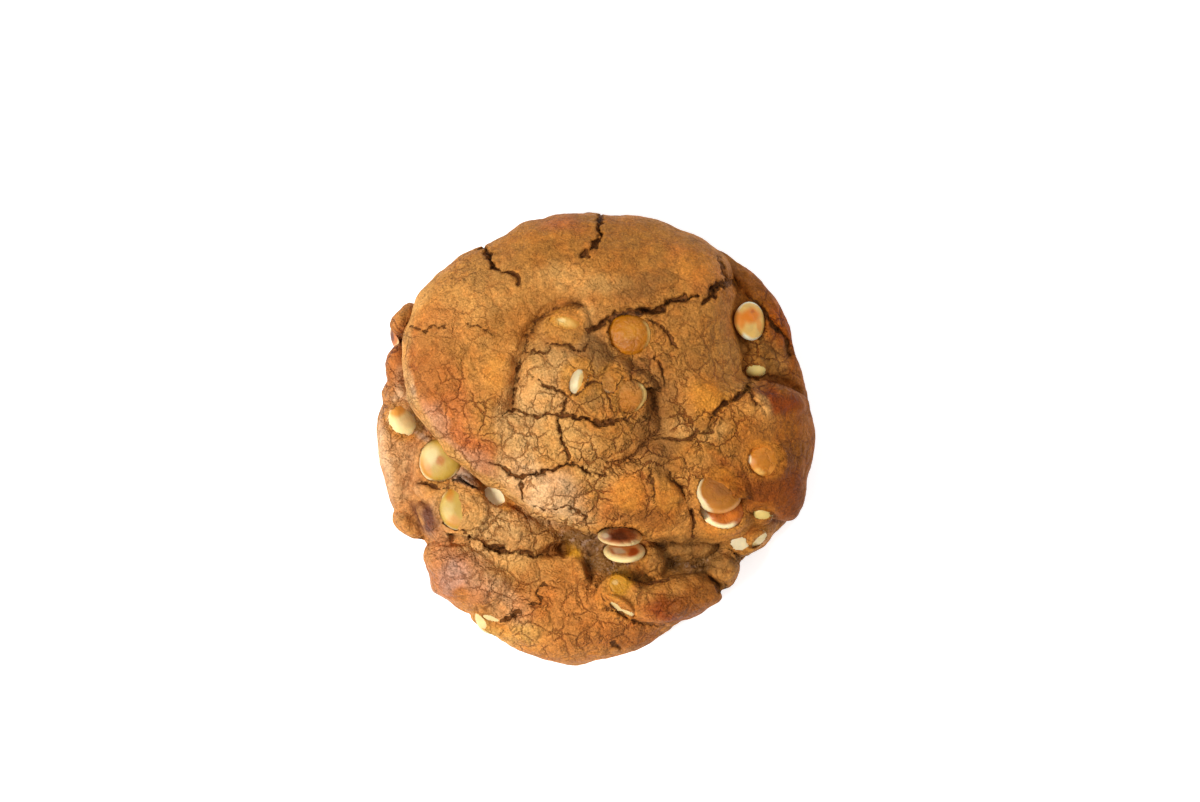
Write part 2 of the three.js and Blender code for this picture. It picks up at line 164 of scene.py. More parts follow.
# The faces of that grid, then rings of quads below its edge, then a fan to the last vertex.
def pebbleFaces(n, ringCount):
    index = np.arange((n + 1) ** 2).reshape(n + 1, n + 1)
    top = np.stack([index[:-1, :-1], index[:-1, 1:], index[1:, 1:], index[1:, :-1]], -1).reshape(-1, 4)
    edge = np.concatenate([index[0, :-1], index[:-1, -1], index[-1, :0:-1], index[:0:-1, 0]])
    count = len(edge)
    rings = [edge] + [(n + 1) ** 2 + k * count + np.arange(count) for k in range(ringCount)]
    sides = [np.stack([low, np.roll(low, -1), np.roll(high, -1), high], -1)
             for high, low in zip(rings, rings[1:])]
    last = (n + 1) ** 2 + ringCount * count
    fan = np.stack([rings[-1], np.full(count, last), np.roll(rings[-1], -1)], -1)
    return np.vstack([top] + sides), fan, edge


# Each vertex's normal: the sum of its quads' own, each of which is the cross product of the quad's diagonals.
def vertexNormals(points, quads):
    across = points[quads[:, 2]] - points[quads[:, 0]]
    along = points[quads[:, 3]] - points[quads[:, 1]]
    normals = np.cross(across, along)
    total = np.stack([
        sum(np.bincount(quads[:, corner], normals[:, axis], len(points)) for corner in range(4))
        for axis in range(3)
    ], 1)
    return total / np.maximum(np.linalg.norm(total, axis=1), 1e-12)[:, None]


# Makes a smooth mesh of quads and triangles, with numbers and a colour kept at each vertex.
def makePiece(name, points, quads, fans, values, colours, material):
    mesh = bpy.data.meshes.new(name)
    corners = np.concatenate([quads.ravel(), fans.ravel()])
    sizes = np.concatenate([np.full(len(quads), 4), np.full(len(fans), 3)])
    starts = np.concatenate([[0], np.cumsum(sizes)[:-1]])
    mesh.vertices.add(len(points))
    mesh.vertices.foreach_set("co", (points * metresPerMm).astype(np.float32).ravel())
    mesh.loops.add(len(corners))
    mesh.loops.foreach_set("vertex_index", corners.astype(np.int32))
    mesh.polygons.add(len(sizes))
    mesh.polygons.foreach_set("loop_start", starts.astype(np.int32))
    mesh.update(calc_edges=True)
    mesh.polygons.foreach_set("use_smooth", np.ones(len(sizes), bool))
    for key, value in values.items():
        layer = mesh.attributes.new(key, "FLOAT", "POINT")
        layer.data.foreach_set("value", value.astype(np.float32))
    layer = mesh.attributes.new("tint", "FLOAT_COLOR", "POINT")
    opaque = np.column_stack([colours, np.ones(len(points))])
    layer.data.foreach_set("color", opaque.astype(np.float32).ravel())
    mesh.validate()
    piece = bpy.data.objects.new(name, mesh)
    bpy.context.collection.objects.link(piece)
    mesh.materials.append(material)
    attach(piece, "root")
    return piece


def addNode(tree, kind, **settings):
    node = tree.nodes.new(kind)
    for key, value in settings.items():
        setattr(node, key, value)
    return node


# Gives a node's input a socket's value or a constant.
def feed(tree, slot, value):
    if isinstance(value, bpy.types.NodeSocket):
        tree.links.new(value, slot)
    else:
        slot.default_value = value


# A shader group: its inputs have a label, a kind and a first value, and its outputs are plain numbers.
def newGroup(name, inputs, outputs):
    tree = bpy.data.node_groups.new(name, "ShaderNodeTree")
    for label, kind, value in inputs:
        socket = tree.interface.new_socket(label, in_out="INPUT", socket_type=kind)
        if value is not None:
            socket.default_value = value
    for label in outputs:
        tree.interface.new_socket(label, in_out="OUTPUT", socket_type="NodeSocketFloat")
    return tree, tree.nodes.new("NodeGroupInput").outputs, tree.nodes.new("NodeGroupOutput").inputs


def mathNode(operation, tree, *values, clamp=False):
    node = addNode(tree, "ShaderNodeMath", operation=operation, use_clamp=clamp)
    for slot, value in zip(node.inputs, values):
        feed(tree, slot, value)
    return node.outputs[0]


plus, minus, times, larger = (functools.partial(mathNode, operation)
                              for operation in ("ADD", "SUBTRACT", "MULTIPLY", "MAXIMUM"))


def vectorNode(tree, operation, vector, other):
    node = addNode(tree, "ShaderNodeVectorMath", operation=operation)
    feed(tree, node.inputs[0], vector)
    feed(tree, node.inputs["Scale"] if operation == "SCALE" else node.inputs[1], other)
    return node.outputs[0]


def rangeNode(tree, value, low, high, toLow=0.0, toHigh=1.0):
    node = addNode(tree, "ShaderNodeMapRange", interpolation_type="SMOOTHSTEP")
    labels = ("Value", "From Min", "From Max", "To Min", "To Max")
    for label, number in zip(labels, (value, low, high, toLow, toHigh)):
        feed(tree, node.inputs[label], number)
    return node.outputs[0]


def mixColour(tree, share, first, second):
    node = addNode(tree, "ShaderNodeMix", data_type="RGBA")
    for slot, value in ((node.inputs[0], share), (node.inputs[6], first), (node.inputs[7], second)):
        feed(tree, slot, value)
    return node.outputs[2]


def noiseNode(tree, vector, scale, detail=2.0, roughness=0.5, output=0):
    node = addNode(tree, "ShaderNodeTexNoise")
    for label, value in (("Vector", vector), ("Scale", scale), ("Detail", detail), ("Roughness", roughness)):
        feed(tree, node.inputs[label], value)
    return node.outputs[output]


def readAttribute(tree, key, output="Fac"):
    return addNode(tree, "ShaderNodeAttribute", attribute_name=key).outputs[output]


# Multiplies a colour by another, as far as share says.
def shadeColour(tree, share, colour, by):
    return mixColour(tree, share, colour, vectorNode(tree, "MULTIPLY", colour, by))


def newMaterial(name):
    material = bpy.data.materials.new(name)
    material.use_nodes = True
    return material, material.node_tree, material.node_tree.nodes["Principled BSDF"]


def setInputs(node, values, prefix=""):
    for label, value in values.items():
        node.inputs[prefix + label].default_value = value


def addBump(tree, shader, height, distance):
    bump = addNode(tree, "ShaderNodeBump")
    bump.inputs["Distance"].default_value = distance
    tree.links.new(height, bump.inputs["Height"])
    tree.links.new(bump.outputs[0], shader.inputs["Normal"])


# Baked skin. Crackle is the border between random cells, bent by noise at two scales and rubbed out in places
# by more noise; each cell is a low dome. Wrinkles are the lines where a noise crosses its middle value. Grain
# is plain fine noise. The last output is painted highlight on the grain's high points and in a strip beside
# each crackle line.
def buildSkinGroup():
    tree, given, out = newGroup("bakedSkin", [
        ("Vector", "NodeSocketVector", None),
        ("Crackle", "NodeSocketFloat", 1.0),
    ], ["Height", "Lines", "Mottle", "PaintedHighlight"])
    vector = given["Vector"]
    bent = vector
    for scale, much in ((330.0, 0.0019), (1500.0, 0.0012)):
        centred = vectorNode(tree, "SUBTRACT", noiseNode(tree, vector, scale, 2.0, output=1), (0.5, 0.5, 0.5))
        bent = vectorNode(tree, "ADD", bent, vectorNode(tree, "SCALE", centred, much))
    lines, domes, edges = [], [], []
    for scale, wide, maskScale, maskLow in ((212.0, 0.065, 170.0, 0.34), (450.0, 0.09, 240.0, 0.47)):
        cells = addNode(tree, "ShaderNodeTexVoronoi", feature="DISTANCE_TO_EDGE")
        feed(tree, cells.inputs["Vector"], bent)
        feed(tree, cells.inputs["Scale"], scale)
        line = rangeNode(tree, cells.outputs[0], 0.0, wide, 1.0, 0.0)
        mask = rangeNode(tree, noiseNode(tree, vector, maskScale, 2.0), maskLow, maskLow + 0.16)
        mask = times(tree, mask, given["Crackle"])
        lines.append(times(tree, line, mask))
        # A strip just beside each crackle line, for the painted highlight.
        beside = rangeNode(tree, cells.outputs[0], wide, 3 * wide, 0.5, 0.0)
        edges.append(times(tree, minus(tree, beside, line, clamp=True), mask))
        domes.append(times(tree, rangeNode(tree, cells.outputs[0], 0.0, 0.38), mask))
    crossing = mathNode("ABSOLUTE", tree, minus(tree, noiseNode(tree, bent, 620.0, 2.0), 0.5))
    wrinkle = rangeNode(tree, crossing, 0.0, 0.035, 1.0, 0.0)
    wrinkle = times(tree, wrinkle, rangeNode(tree, noiseNode(tree, vector, 420.0, 1.0), 0.44, 0.6))
    grain = noiseNode(tree, vector, 1900.0, 3.0, 0.62)
    lumps = noiseNode(tree, vector, 780.0, 2.0)
    height = plus(tree, times(tree, grain, 0.55), times(tree, lumps, 0.8))
    for part, much in zip(lines + [wrinkle] + domes, (-0.8, -0.4, -0.3, 2.3, 0.8)):
        height = plus(tree, height, times(tree, part, much))
    dark = larger(tree, lines[0], times(tree, lines[1], 0.75))
    dark = larger(tree, dark, times(tree, wrinkle, 0.22), clamp=True)
    # Painted highlight on the grain's high points and in the strips beside the crackle lines.
    paintedHighlight = rangeNode(tree, grain, 0.52, 0.74, 0.0, 0.6)
    for edge in edges:
        paintedHighlight = larger(tree, paintedHighlight, edge)
    for label, value in (("PaintedHighlight", paintedHighlight), ("Height", height), ("Lines", dark), ("Mottle", grain)):
        tree.links.new(value, out[label])
    return tree


skinGroup = buildSkinGroup()

doughLook = {
    "wall": (*linear(124, 74, 30), 1),      # the sides of a split
    # Painted shade at the bottom of a split
    "deep": (*linear(64, 36, 13), 1),       # its bottom
    "goo": (*linear(116, 80, 40), 1),       # underbaked dough between the lobes
    # Painted sheen: pale streaks over the goo that stand in for its wet glints
    "gooSheen": (*linear(176, 144, 124), 1),
    "lineShade": (0.47, 0.34, 0.23),        # how crackle and wrinkles dim the tint
    # Painted shade: how the shade painted into hollows, along creases, under the crust's lip and beside the
    # chips dims the tint
    "hollowShade": (0.46, 0.39, 0.31),
    # Painted highlight: how much the skin's crests and the strips beside its crackle lift the tint
    "crestLight": (1.3, 1.38, 1.6),         # how the crests of the skin lift it
    "ruddyShade": (1.04, 0.86, 0.7),
    "bumpDistance": 0.00046,
}


# Baked dough: the vertices' tint, mottled, with painted highlight on its grain and beside its crackle, wet
# where it is goo, with painted sheen streaked over the goo, darker along crackle, with painted shade in
# hollows, along creases, under the crust's lip and beside the chips, and darkest inside the splits, whose
# bottoms are painted shade.
def buildDoughMaterial():
    look = doughLook
    material, tree, shader = newMaterial("bakedDough")
    place = addNode(tree, "ShaderNodeTexCoord").outputs["Object"]
    tint = readAttribute(tree, "tint", "Color")
    keys = ("side", "half", "goo", "paintedShade", "gloss")
    side, half, goo, paintedShade, gloss = (readAttribute(tree, key) for key in keys)
    skin = addNode(tree, "ShaderNodeGroup", node_tree=skinGroup)
    feed(tree, skin.inputs["Vector"], place)
    feed(tree, skin.inputs["Crackle"], readAttribute(tree, "crackle"))

    # A split: distance to its line less its half width, both in millimetres, with ragged edges.
    ragged = minus(tree, noiseNode(tree, place, 1100.0, 4.0, 0.7), 0.5)
    edge = plus(tree, minus(tree, side, half), times(tree, ragged, 1.25))
    exists = rangeNode(tree, half, 0.02, 0.12)
    wall = times(tree, rangeNode(tree, edge, -0.1, 0.16, 1.0, 0.0), exists)
    # Painted shade at the bottom of a split.
    deep = times(tree, rangeNode(tree, edge, -0.55, -0.12, 1.0, 0.0), exists)
    for scale, low in ((420.0, 0.34), (1000.0, 0.4)):
        patchy = rangeNode(tree, noiseNode(tree, place, scale, 2.0), low, 0.52, 0.25, 1.0)
        deep = times(tree, deep, patchy)

    light = rangeNode(tree, noiseNode(tree, place, 110.0, 4.0, 0.6), 0.25, 0.75, 0.85, 1.1)
    light = times(tree, light, rangeNode(tree, noiseNode(tree, place, 600.0, 3.0), 0.3, 0.7, 0.88, 1.1))
    # The skin's grain lifts and dims the tint: partly tone that differs at random, partly painted highlight
    # on the grain's high points.
    light = times(tree, light, rangeNode(tree, skin.outputs["Mottle"], 0.28, 0.72, 0.74, 1.1))
    colour = vectorNode(tree, "SCALE", tint, light)
    ruddy = rangeNode(tree, noiseNode(tree, place, 260.0, 3.0, 0.6), 0.42, 0.66, 0.0, 0.6)
    colour = shadeColour(tree, ruddy, colour, look["ruddyShade"])
    # Painted sheen streaked over the goo.
    sheenStreaks = rangeNode(tree, noiseNode(tree, place, 700.0, 2.0), 0.54, 0.66, 0.0, 0.6)
    wet = mixColour(tree, sheenStreaks, look["goo"], look["gooSheen"])
    colour = mixColour(tree, times(tree, goo, 0.85), colour, wet)
    # Painted highlight on the skin's crests and beside its crackle lines.
    colour = shadeColour(tree, skin.outputs["PaintedHighlight"], colour, look["crestLight"])
    colour = shadeColour(tree, skin.outputs["Lines"], colour, look["lineShade"])
    # Painted shade in hollows, along creases, under the crust's lip and beside the chips.
    colour = shadeColour(tree, paintedShade, colour, look["hollowShade"])
    colour = mixColour(tree, wall, colour, look["wall"])
    colour = mixColour(tree, deep, colour, look["deep"])
    tree.links.new(colour, shader.inputs["Base Color"])

    shine = larger(tree, goo, gloss)
    feed(tree, shader.inputs["Roughness"], rangeNode(tree, shine, 0.0, 1.0, 0.66, 0.24))
    shader.inputs["Specular IOR Level"].default_value = 0.15

    height = minus(tree, skin.outputs["Height"], times(tree, wall, 1.6))
    addBump(tree, shader, height, look["bumpDistance"])
    return material


chipLook = {
    "roughness": (0.42, 0.62),      # clean chocolate, and under a baked skin
    "specular": 0.3,
    "subsurface": {"Weight": 0.22, "Radius": (1.0, 0.6, 0.3), "Scale": 0.0012},
    "bumpDistance": 0.00028,
}


# White chocolate: the vertices' tint, a little clouded. Clean, it is smooth and lets some light in; under a
# baked skin it is matt, with the dough's lines.
def buildChipMaterial():
    material, tree, shader = newMaterial("whiteChocolate")
    place = addNode(tree, "ShaderNodeTexCoord").outputs["Object"]
    skinned = readAttribute(tree, "skinned")
    skin = addNode(tree, "ShaderNodeGroup", node_tree=skinGroup)
    feed(tree, skin.inputs["Vector"], place)
    cloud = rangeNode(tree, noiseNode(tree, place, 450.0, 3.0, 0.6), 0.3, 0.7, 0.93, 1.05)
    colour = vectorNode(tree, "SCALE", readAttribute(tree, "tint", "Color"), cloud)
    lines = times(tree, skin.outputs["Lines"], times(tree, skinned, 0.6))
    colour = shadeColour(tree, lines, colour, doughLook["lineShade"])
    tree.links.new(colour, shader.inputs["Base Color"])
    low, high = chipLook["roughness"]
    feed(tree, shader.inputs["Roughness"], rangeNode(tree, skinned, 0.0, 1.0, low, high))
    shader.inputs["Specular IOR Level"].default_value = chipLook["specular"]
    setInputs(shader, chipLook["subsurface"], "Subsurface ")
    rough = times(tree, skin.outputs["Height"], plus(tree, skinned, 0.06))
    addBump(tree, shader, rough, chipLook["bumpDistance"])
    return material


doughMaterial = buildDoughMaterial()
chipMaterial = buildChipMaterial()
print("materials made")


# What a chip has where its own entry doesn't say otherwise.
plainChip = {
    "thick": 0,             # its thickness, or 0 where that follows from its size
    # multiplies the chip's whole tint: above 1 it is painted light on chips that lie in shade, below 1 it
    # darkens the chip
    "bright": 1,
    "glow": 0.25,           # how much it tints the dough round it
    "rims": [],             # parts of its rim: two bearings, a tone and how far out it starts, as a share
    "marks": [],            # place, half sizes, turn, tone and strength
    "bare": [],             # place, half sizes and turn of what the dough leaves bare, if that isn't all
}
# The chips that show, by their CAD node, in millimetres and degrees: lean is the way that a chip's face
# looks, from +X, and tilt how far it leans; size is its diameter as a share of a whole chip's, skin how far a
# baked skin covers it, and dough names the dough pieces that are shaped round it.
chips = {
    "chip_mound_top": {
        "lean": 60, "tilt": 14, "size": 0.86, "tone": "glow", "skin": 0.4, "dough": "crust", "glow": 0.4,
        # The small cream spot is a painted highlight on the chip's face.
        "marks": [((-7, 27.3), (2.8, 1.1), -12, "butter", 0.8), ((-7.9, 27.7), (1.3, 0.5), -8, "cream", 0.7)],
        "bare": [((-7.2, 27.2), (3.4, 1.4), -10)],
    },
    "chip_caramel": {
        "lean": 190, "tilt": 9, "size": 1.02, "tone": "caramel", "skin": 0.25, "dough": "crust",
        "rims": [(-50, 50, "butter", 0.86)],
        "marks": [((8.6, 25.2), (2.6, 2.2), 0, "amber", 0.7), ((8.8, 21.8), (4, 1.8), 0, "umber", 0.25)],
    },
    "chip_mound_edge_on": {
        "lean": 158, "tilt": 62, "size": 0.8, "tone": "pale", "skin": 0.1, "dough": "crust", "bright": 0.84,
        "glow": 0.5,
        "marks": [((-3.3, 13.2), (2.8, 0.7), 72, "butter", 0.9)],
        "bare": [((-4.6, 13.4), (3.1, 1.5), 72)],
    },
    "chip_mound_small": {
        "lean": 100, "tilt": 12, "size": 0.66, "tone": "skin", "skin": 1, "dough": "crust", "glow": 0.4,
        "rims": [(-140, -40, "cream", 0.84)],
        "bare": [((3.3, 12.6), (1.4, 2.9), 12)],
    },
    "chip_mound_disc": {
        "lean": 160, "tilt": 10, "size": 0.84, "tone": "skin", "skin": 1, "dough": "crust", "bright": 0.9,
        "rims": [(-75, 60, "butter", 0.82)],
        "marks": [((8.2, 8.6), (3.4, 3), 0, "honey", 0.8)],
        "bare": [((9.8, 9.6), (4.2, 5.4), 0)],
    },
    "chip_east_toasted": {
        "lean": 15, "tilt": 44, "size": 0.94, "tone": "butter", "skin": 0.1, "dough": "crust lower",
        "thick": 2.4, "bright": 1.15,
        "rims": [(-130, 150, "pale", 0.87)],
        "marks": [((37.2, 29), (2.9, 2.2), 15, "toast", 1), ((37.6, 30), (0.6, 0.5), 0, "red", 0.7),
                  ((34.6, 28), (1.3, 2.6), 8, "toast", 0.8), ((39.2, 26.6), (0.7, 2), 8, "toast", 0.6)],
    },
    "chip_east_sunk": {
        "lean": 80, "tilt": 26, "size": 0.66, "tone": "straw", "skin": 0.1, "dough": "crust lower",
        "bright": 1.2,
        "bare": [((38.3, 15.9), (2.2, 1.1), 5)],
    },
    "chip_east_melted": {
        "lean": -20, "tilt": 10, "size": 0.84, "tone": "honey", "skin": 0.3, "dough": "crust", "glow": 0.3,
        "marks": [((37.7, -7.4), (1.5, 3), 25, "peach", 0.9), ((38.7, -8.5), (1.6, 1.3), 0, "butter", 0.6),
                  ((42.3, -8), (1.4, 1.5), -10, "peach", 0.9), ((36.5, -5), (0.9, 1.3), 15, "pale", 1)],
        "bare": [((39.3, -5.9), (3.6, 3.6), 0)],
    },
    "chip_pair_upper": {
        "lean": 50, "tilt": 22, "size": 1.08, "tone": "honey", "skin": 0.12, "dough": "crust", "bright": 0.8,
        "rims": [(130, 262, "cream", 0.86), (240, 345, "peach", 0.8)],
        "marks": [((30.4, -11), (5, 3.2), -24, "umber", 0.3), ((28.6, -16.2), (4.4, 1.2), -12, "peach", 0.6)],
        "bare": [((27.6, -14.6), (5.8, 4.3), -38)],
    },
    "chip_pair_lower": {
        "lean": 60, "tilt": 22, "size": 1.06, "tone": "rust", "skin": 0.3, "dough": "crust",
        "rims": [(130, 320, "cream", 0.79)],
        "marks": [((32, -18.8), (2.8, 1.2), 22, "toast", 0.6)],
    },
    "chip_lip_burnt": {
        "lean": 88, "tilt": 66, "size": 1.02, "tone": "cream", "skin": 0.2, "dough": "crust lower",
        "thick": 1.4,
        # The pale spot at the left end is a painted highlight, and the mauve spot under it partly one.
        "marks": [((6, -23.4), (5, 2.2), 0, "red", 0.9), ((6.6, -23.2), (4.2, 1.6), 0, "umber", 0.8),
                  ((5.6, -23.4), (2.6, 1.3), -6, "char", 0.8), ((2.7, -23.4), (1.3, 0.9), 0, "mauve", 1),
                  ((2.5, -23.3), (0.9, 0.7), 0, "pale", 0.9), ((10.6, -23.6), (0.9, 1.4), 0, "peach", 0.7)],
    },
    "chip_lip_below": {
        "lean": 92, "tilt": 64, "size": 1, "tone": "cream", "skin": 0.1, "dough": "lower", "thick": 1.9,
        "bright": 1.12,
        # The pale spot is a painted highlight.
        "marks": [((7, -26.4), (4.2, 2.1), -4, "toast", 0.75), ((4.2, -27.2), (0.9, 0.7), -20, "red", 0.7),
                  ((9, -27.3), (1.6, 1.2), 20, "red", 1), ((5.6, -26.9), (1.8, 0.8), -12, "pale", 0.9)],
    },
    "chip_white_disc": {
        "lean": 215, "tilt": 14, "size": 1.06, "tone": "olive", "skin": 0, "dough": "lower",
        "rims": [(150, 340, "cream", 0.84)],
        "marks": [((-39.8, -4.2), (2.9, 3.4), -25, "cream", 0.7),
                  ((-40.8, -7.2), (1.8, 3.4), 25, "toast", 0.45),
                  ((-36.8, -5.6), (1.3, 1.3), 0, "caramel", 1)],
    },
    "chip_west_tucked": {
        "lean": 40, "tilt": 48, "size": 0.84, "tone": "cream", "skin": 0, "dough": "lower", "bright": 1.3,
        "glow": 0.6,
        "marks": [((-46.9, 6.6), (3, 1.9), 30, "glow", 0.9)],
        "bare": [((-45.9, 3.9), (3.6, 2.7), -42)],
    },
    "chip_under_lip": {
        "lean": 220, "tilt": 12, "size": 0.9, "tone": "pale", "skin": 0, "dough": "crust lower",
        "bright": 1.25, "glow": 0.6,
        "marks": [((-22.6, -16.2), (1.8, 0.7), 20, "butter", 0.7)],
        "bare": [((-24, -14.2), (2.9, 1.9), -40)],
    },
    "chip_shelf_disc": {
        "lean": 185, "tilt": 9, "size": 1.06, "tone": "olive", "skin": 0, "dough": "lower",
        "rims": [(120, 290, "cream", 0.88)],
        "marks": [((-35.2, -17.2), (1.8, 3.4), 0, "straw", 0.6),
                  ((-34.4, -13.6), (1.4, 1.8), 0, "honey", 0.8), ((-33.6, -20), (2, 1.7), 0, "peach", 0.6)],
        "bare": [((-34.8, -17.4), (3, 5.4), 4)],
    },
    "chip_south_east_sliver": {
        "lean": 250, "tilt": 30, "size": 0.48, "tone": "straw", "skin": 0, "dough": "crust lower",
        "bright": 0.9,
        "bare": [((39.5, -18.3), (2.1, 1), -6)],
    },
    "chip_south_east_white": {
        "lean": 240, "tilt": 18, "size": 0.56, "tone": "pale", "skin": 0, "dough": "lower", "bright": 0.76,
        "bare": [((34.6, -25.2), (2.1, 1.5), -10)],
    },
    "chip_south_east_rim": {
        "lean": 305, "tilt": 62, "size": 0.56, "tone": "cream", "skin": 0.1, "dough": "lower", "thick": 1.6,
        "bright": 1.02,
        "bare": [((39.1, -24.8), (2.4, 0.8), 48)],
    },
    "chip_flap_yellow": {
        "lean": 120, "tilt": 8, "size": 0.62, "tone": "yellow", "skin": 0.3, "dough": "lower", "glow": 0.2,
        # The cream spot is a painted highlight.
        "marks": [((4.8, -34.5), (0.8, 0.8), 0, "cream", 0.45)],
        "bare": [((5.4, -35), (1.9, 1.8), 0)],
    },
    "chip_flap_edge": {
        "lean": 240, "tilt": 70, "size": 0.92, "tone": "cream", "skin": 0, "dough": "lower", "thick": 1.4,
        "bare": [((4.9, -40.3), (1.7, 0.6), -36), ((8.4, -42), (2.9, 0.32), -24)],
    },
    "chip_west_rim": {
        "lean": 200, "tilt": 58, "size": 0.84, "tone": "cream", "skin": 0, "dough": "",
        "marks": [((-48.3, 24.2), (1.5, 3.4), -8, "rust", 0.95), ((-48.7, 24.6), (0.5, 2), 0, "char", 0.8)],
    },
    "chip_south_west_rim": {
        "lean": 235, "tilt": 34, "size": 0.84, "tone": "cream", "skin": 0, "dough": "lower",
        "bare": [((-27.8, -43.9), (2.2, 1.1), -42), ((-24.8, -43.2), (2, 0.5), -16)],
    },
}
chips = {name: {**plainChip, **chip} for name, chip in chips.items()}
chipTones = {key: linear(*colour) for key, colour in {
    "pale": (254, 244, 214), "cream": (248, 228, 176), "butter": (250, 208, 122), "olive": (200, 167, 74),
    "straw": (236, 212, 138), "peach": (228, 152, 66), "glow": (226, 158, 60), "caramel": (192, 121, 4),
    "amber": (206, 139, 18), "honey": (208, 132, 34), "toast": (246, 142, 22), "rust": (206, 116, 40),
    "red": (196, 92, 32), "char": (84, 38, 28), "skin": (196, 134, 58), "yellow": (212, 152, 30),
    "umber": (150, 78, 34), "mauve": (206, 156, 140),
}.items()}
chipWarmth = np.array([0.8, 0.74, 0.6])
chipForm = {
    "diameter": 10,
    "thickness": 3.8,
    "rings": 30,
    "around": 80,
    # Its profile from the middle of its foot to the middle of its top, as shares of its radius and thickness.
    "profile": [[0, 0], [0.55, 0], [0.84, 0.02], [0.97, 0.16], [1, 0.38], [0.965, 0.62], [0.87, 0.8],
                [0.7, 0.9], [0.45, 0.95], [0.2, 0.975], [0, 0.98]],
}


# A chip is a profile turned round its axis: a flat foot, a round shoulder and a low crown. Its middle is its
# CAD node's. Gives its vertices, faces and normals, its middle, and how far out each vertex is.
def chipShape(name, seed):
    chip = chips[name]
    lean, tilt = math.radians(chip["lean"]), math.radians(chip["tilt"])
    low, high = (np.array(corner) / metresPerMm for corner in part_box(name))
    face = np.array([math.sin(tilt) * math.cos(lean), math.sin(tilt) * math.sin(lean), math.cos(tilt)])
    across = np.array([-math.sin(lean), math.cos(lean), 0])
    axes = np.stack([np.cross(across, face), across, face])
    radius = chipForm["diameter"] / 2 * chip["size"]
    thick = chip["thick"] or chipForm["thickness"] * (0.55 + 0.45 * chip["size"])
    profile = np.array(chipForm["profile"])
    knots = np.concatenate([[0], np.cumsum(np.hypot(*np.diff(profile, axis=0).T))])
    share = np.linspace(0, knots[-1], chipForm["rings"] + 1)[1:-1]
    ringR, ringZ = (np.interp(share, knots, profile[:, i]) for i in (0, 1))
    around = np.arange(chipForm["around"]) / chipForm["around"] * 2 * math.pi
    uneven = 1 + 0.035 * np.cos(2 * around + seed) + 0.02 * np.cos(3 * around + 2 * seed)
    r = ringR[:, None] * radius * uneven
    z = np.repeat((ringZ[:, None] - 0.5) * thick, len(around), 1)
    local = np.column_stack([(r * np.cos(around)).ravel(), (r * np.sin(around)).ravel(), z.ravel()])
    local = np.vstack([local, [[0, 0, -thick / 2]], [[0, 0, thick * 0.48]]])
    count, rows = len(around), len(ringR)
    ring = np.arange(rows * count).reshape(rows, count)
    below, above = ring[:-1], ring[1:]
    quads = np.stack([below, np.roll(below, -1, 1), np.roll(above, -1, 1), above], -1).reshape(-1, 4)
    foot, tip = rows * count, rows * count + 1
    fans = np.vstack([np.stack([np.roll(ring[0], -1), ring[0], np.full(count, foot)], -1),
                      np.stack([ring[-1], np.roll(ring[-1], -1), np.full(count, tip)], -1)])
    points = (low + high) / 2 + local @ axes
    swell = (0.03 + 0.2 * chip["skin"]) * softNoise(points, 2.3, 90 + seed)
    swell = swell + 0.1 * softNoise(points, 5, 120 + seed)
    points = points + swell[:, None] * axes[2]
    return {"points": points, "quads": quads, "fans": fans, "normals": vertexNormals(points, quads),
            "middle": (low + high) / 2, "out": np.hypot(local[:, 0], local[:, 1]) / radius}


chipShapes = {name: chipShape(name, number) for number, name in enumerate(chips)}

chipFit = {
    "reach": 8,             # how near a chip's middle the dough has to be to be shaped by it
    "under": 5,             # how far below it at most
    "above": 4,             # dough higher than this over its middle isn't tinted or lifted by it
    "touch": 0.34,          # dough nearer than this to the chip's upward side lies over it
    "sunk": 0.4,            # how far it stays below the bare parts
    "cover": 0.16,          # and how far above the others
    "flat": (22, 34),       # a chip is flat up to the first tilt and tilted from the second
    "upward": (0.12, 0.45),     # how far up a normal has to point to count, and how much more on a flat chip
    "highest": 4.5,         # dough further than this over a chip is left alone
    "bareEdge": (0.86, 1.08),   # where a bare part starts to end, and ends, as shares of its radius
    "bank": (0.2, 0.35),    # how far over the shoulder dough climbs, and how much less by a bare part
    "slope": (0.18, 0.17),  # how it falls away from there, and how much more by a bare part
    "drop": 3,              # how much further it falls where the bank ends
    "bankEnd": (1.2, 4.5, 1.3),     # the distances over which that is, and how much nearer by a bare part
    "lowered": 9,           # how far the bank sinks round a tilted chip
    "hug": (0.2, 0.6),      # a low ring of dough round a chip: its height, and its distance and width
    # Painted shade: the dark line in the dough along a chip's edge
    "edgeShade": (0.5, 0.35),   # how dark the line along a tilted chip is, and how much less along a flat one
}
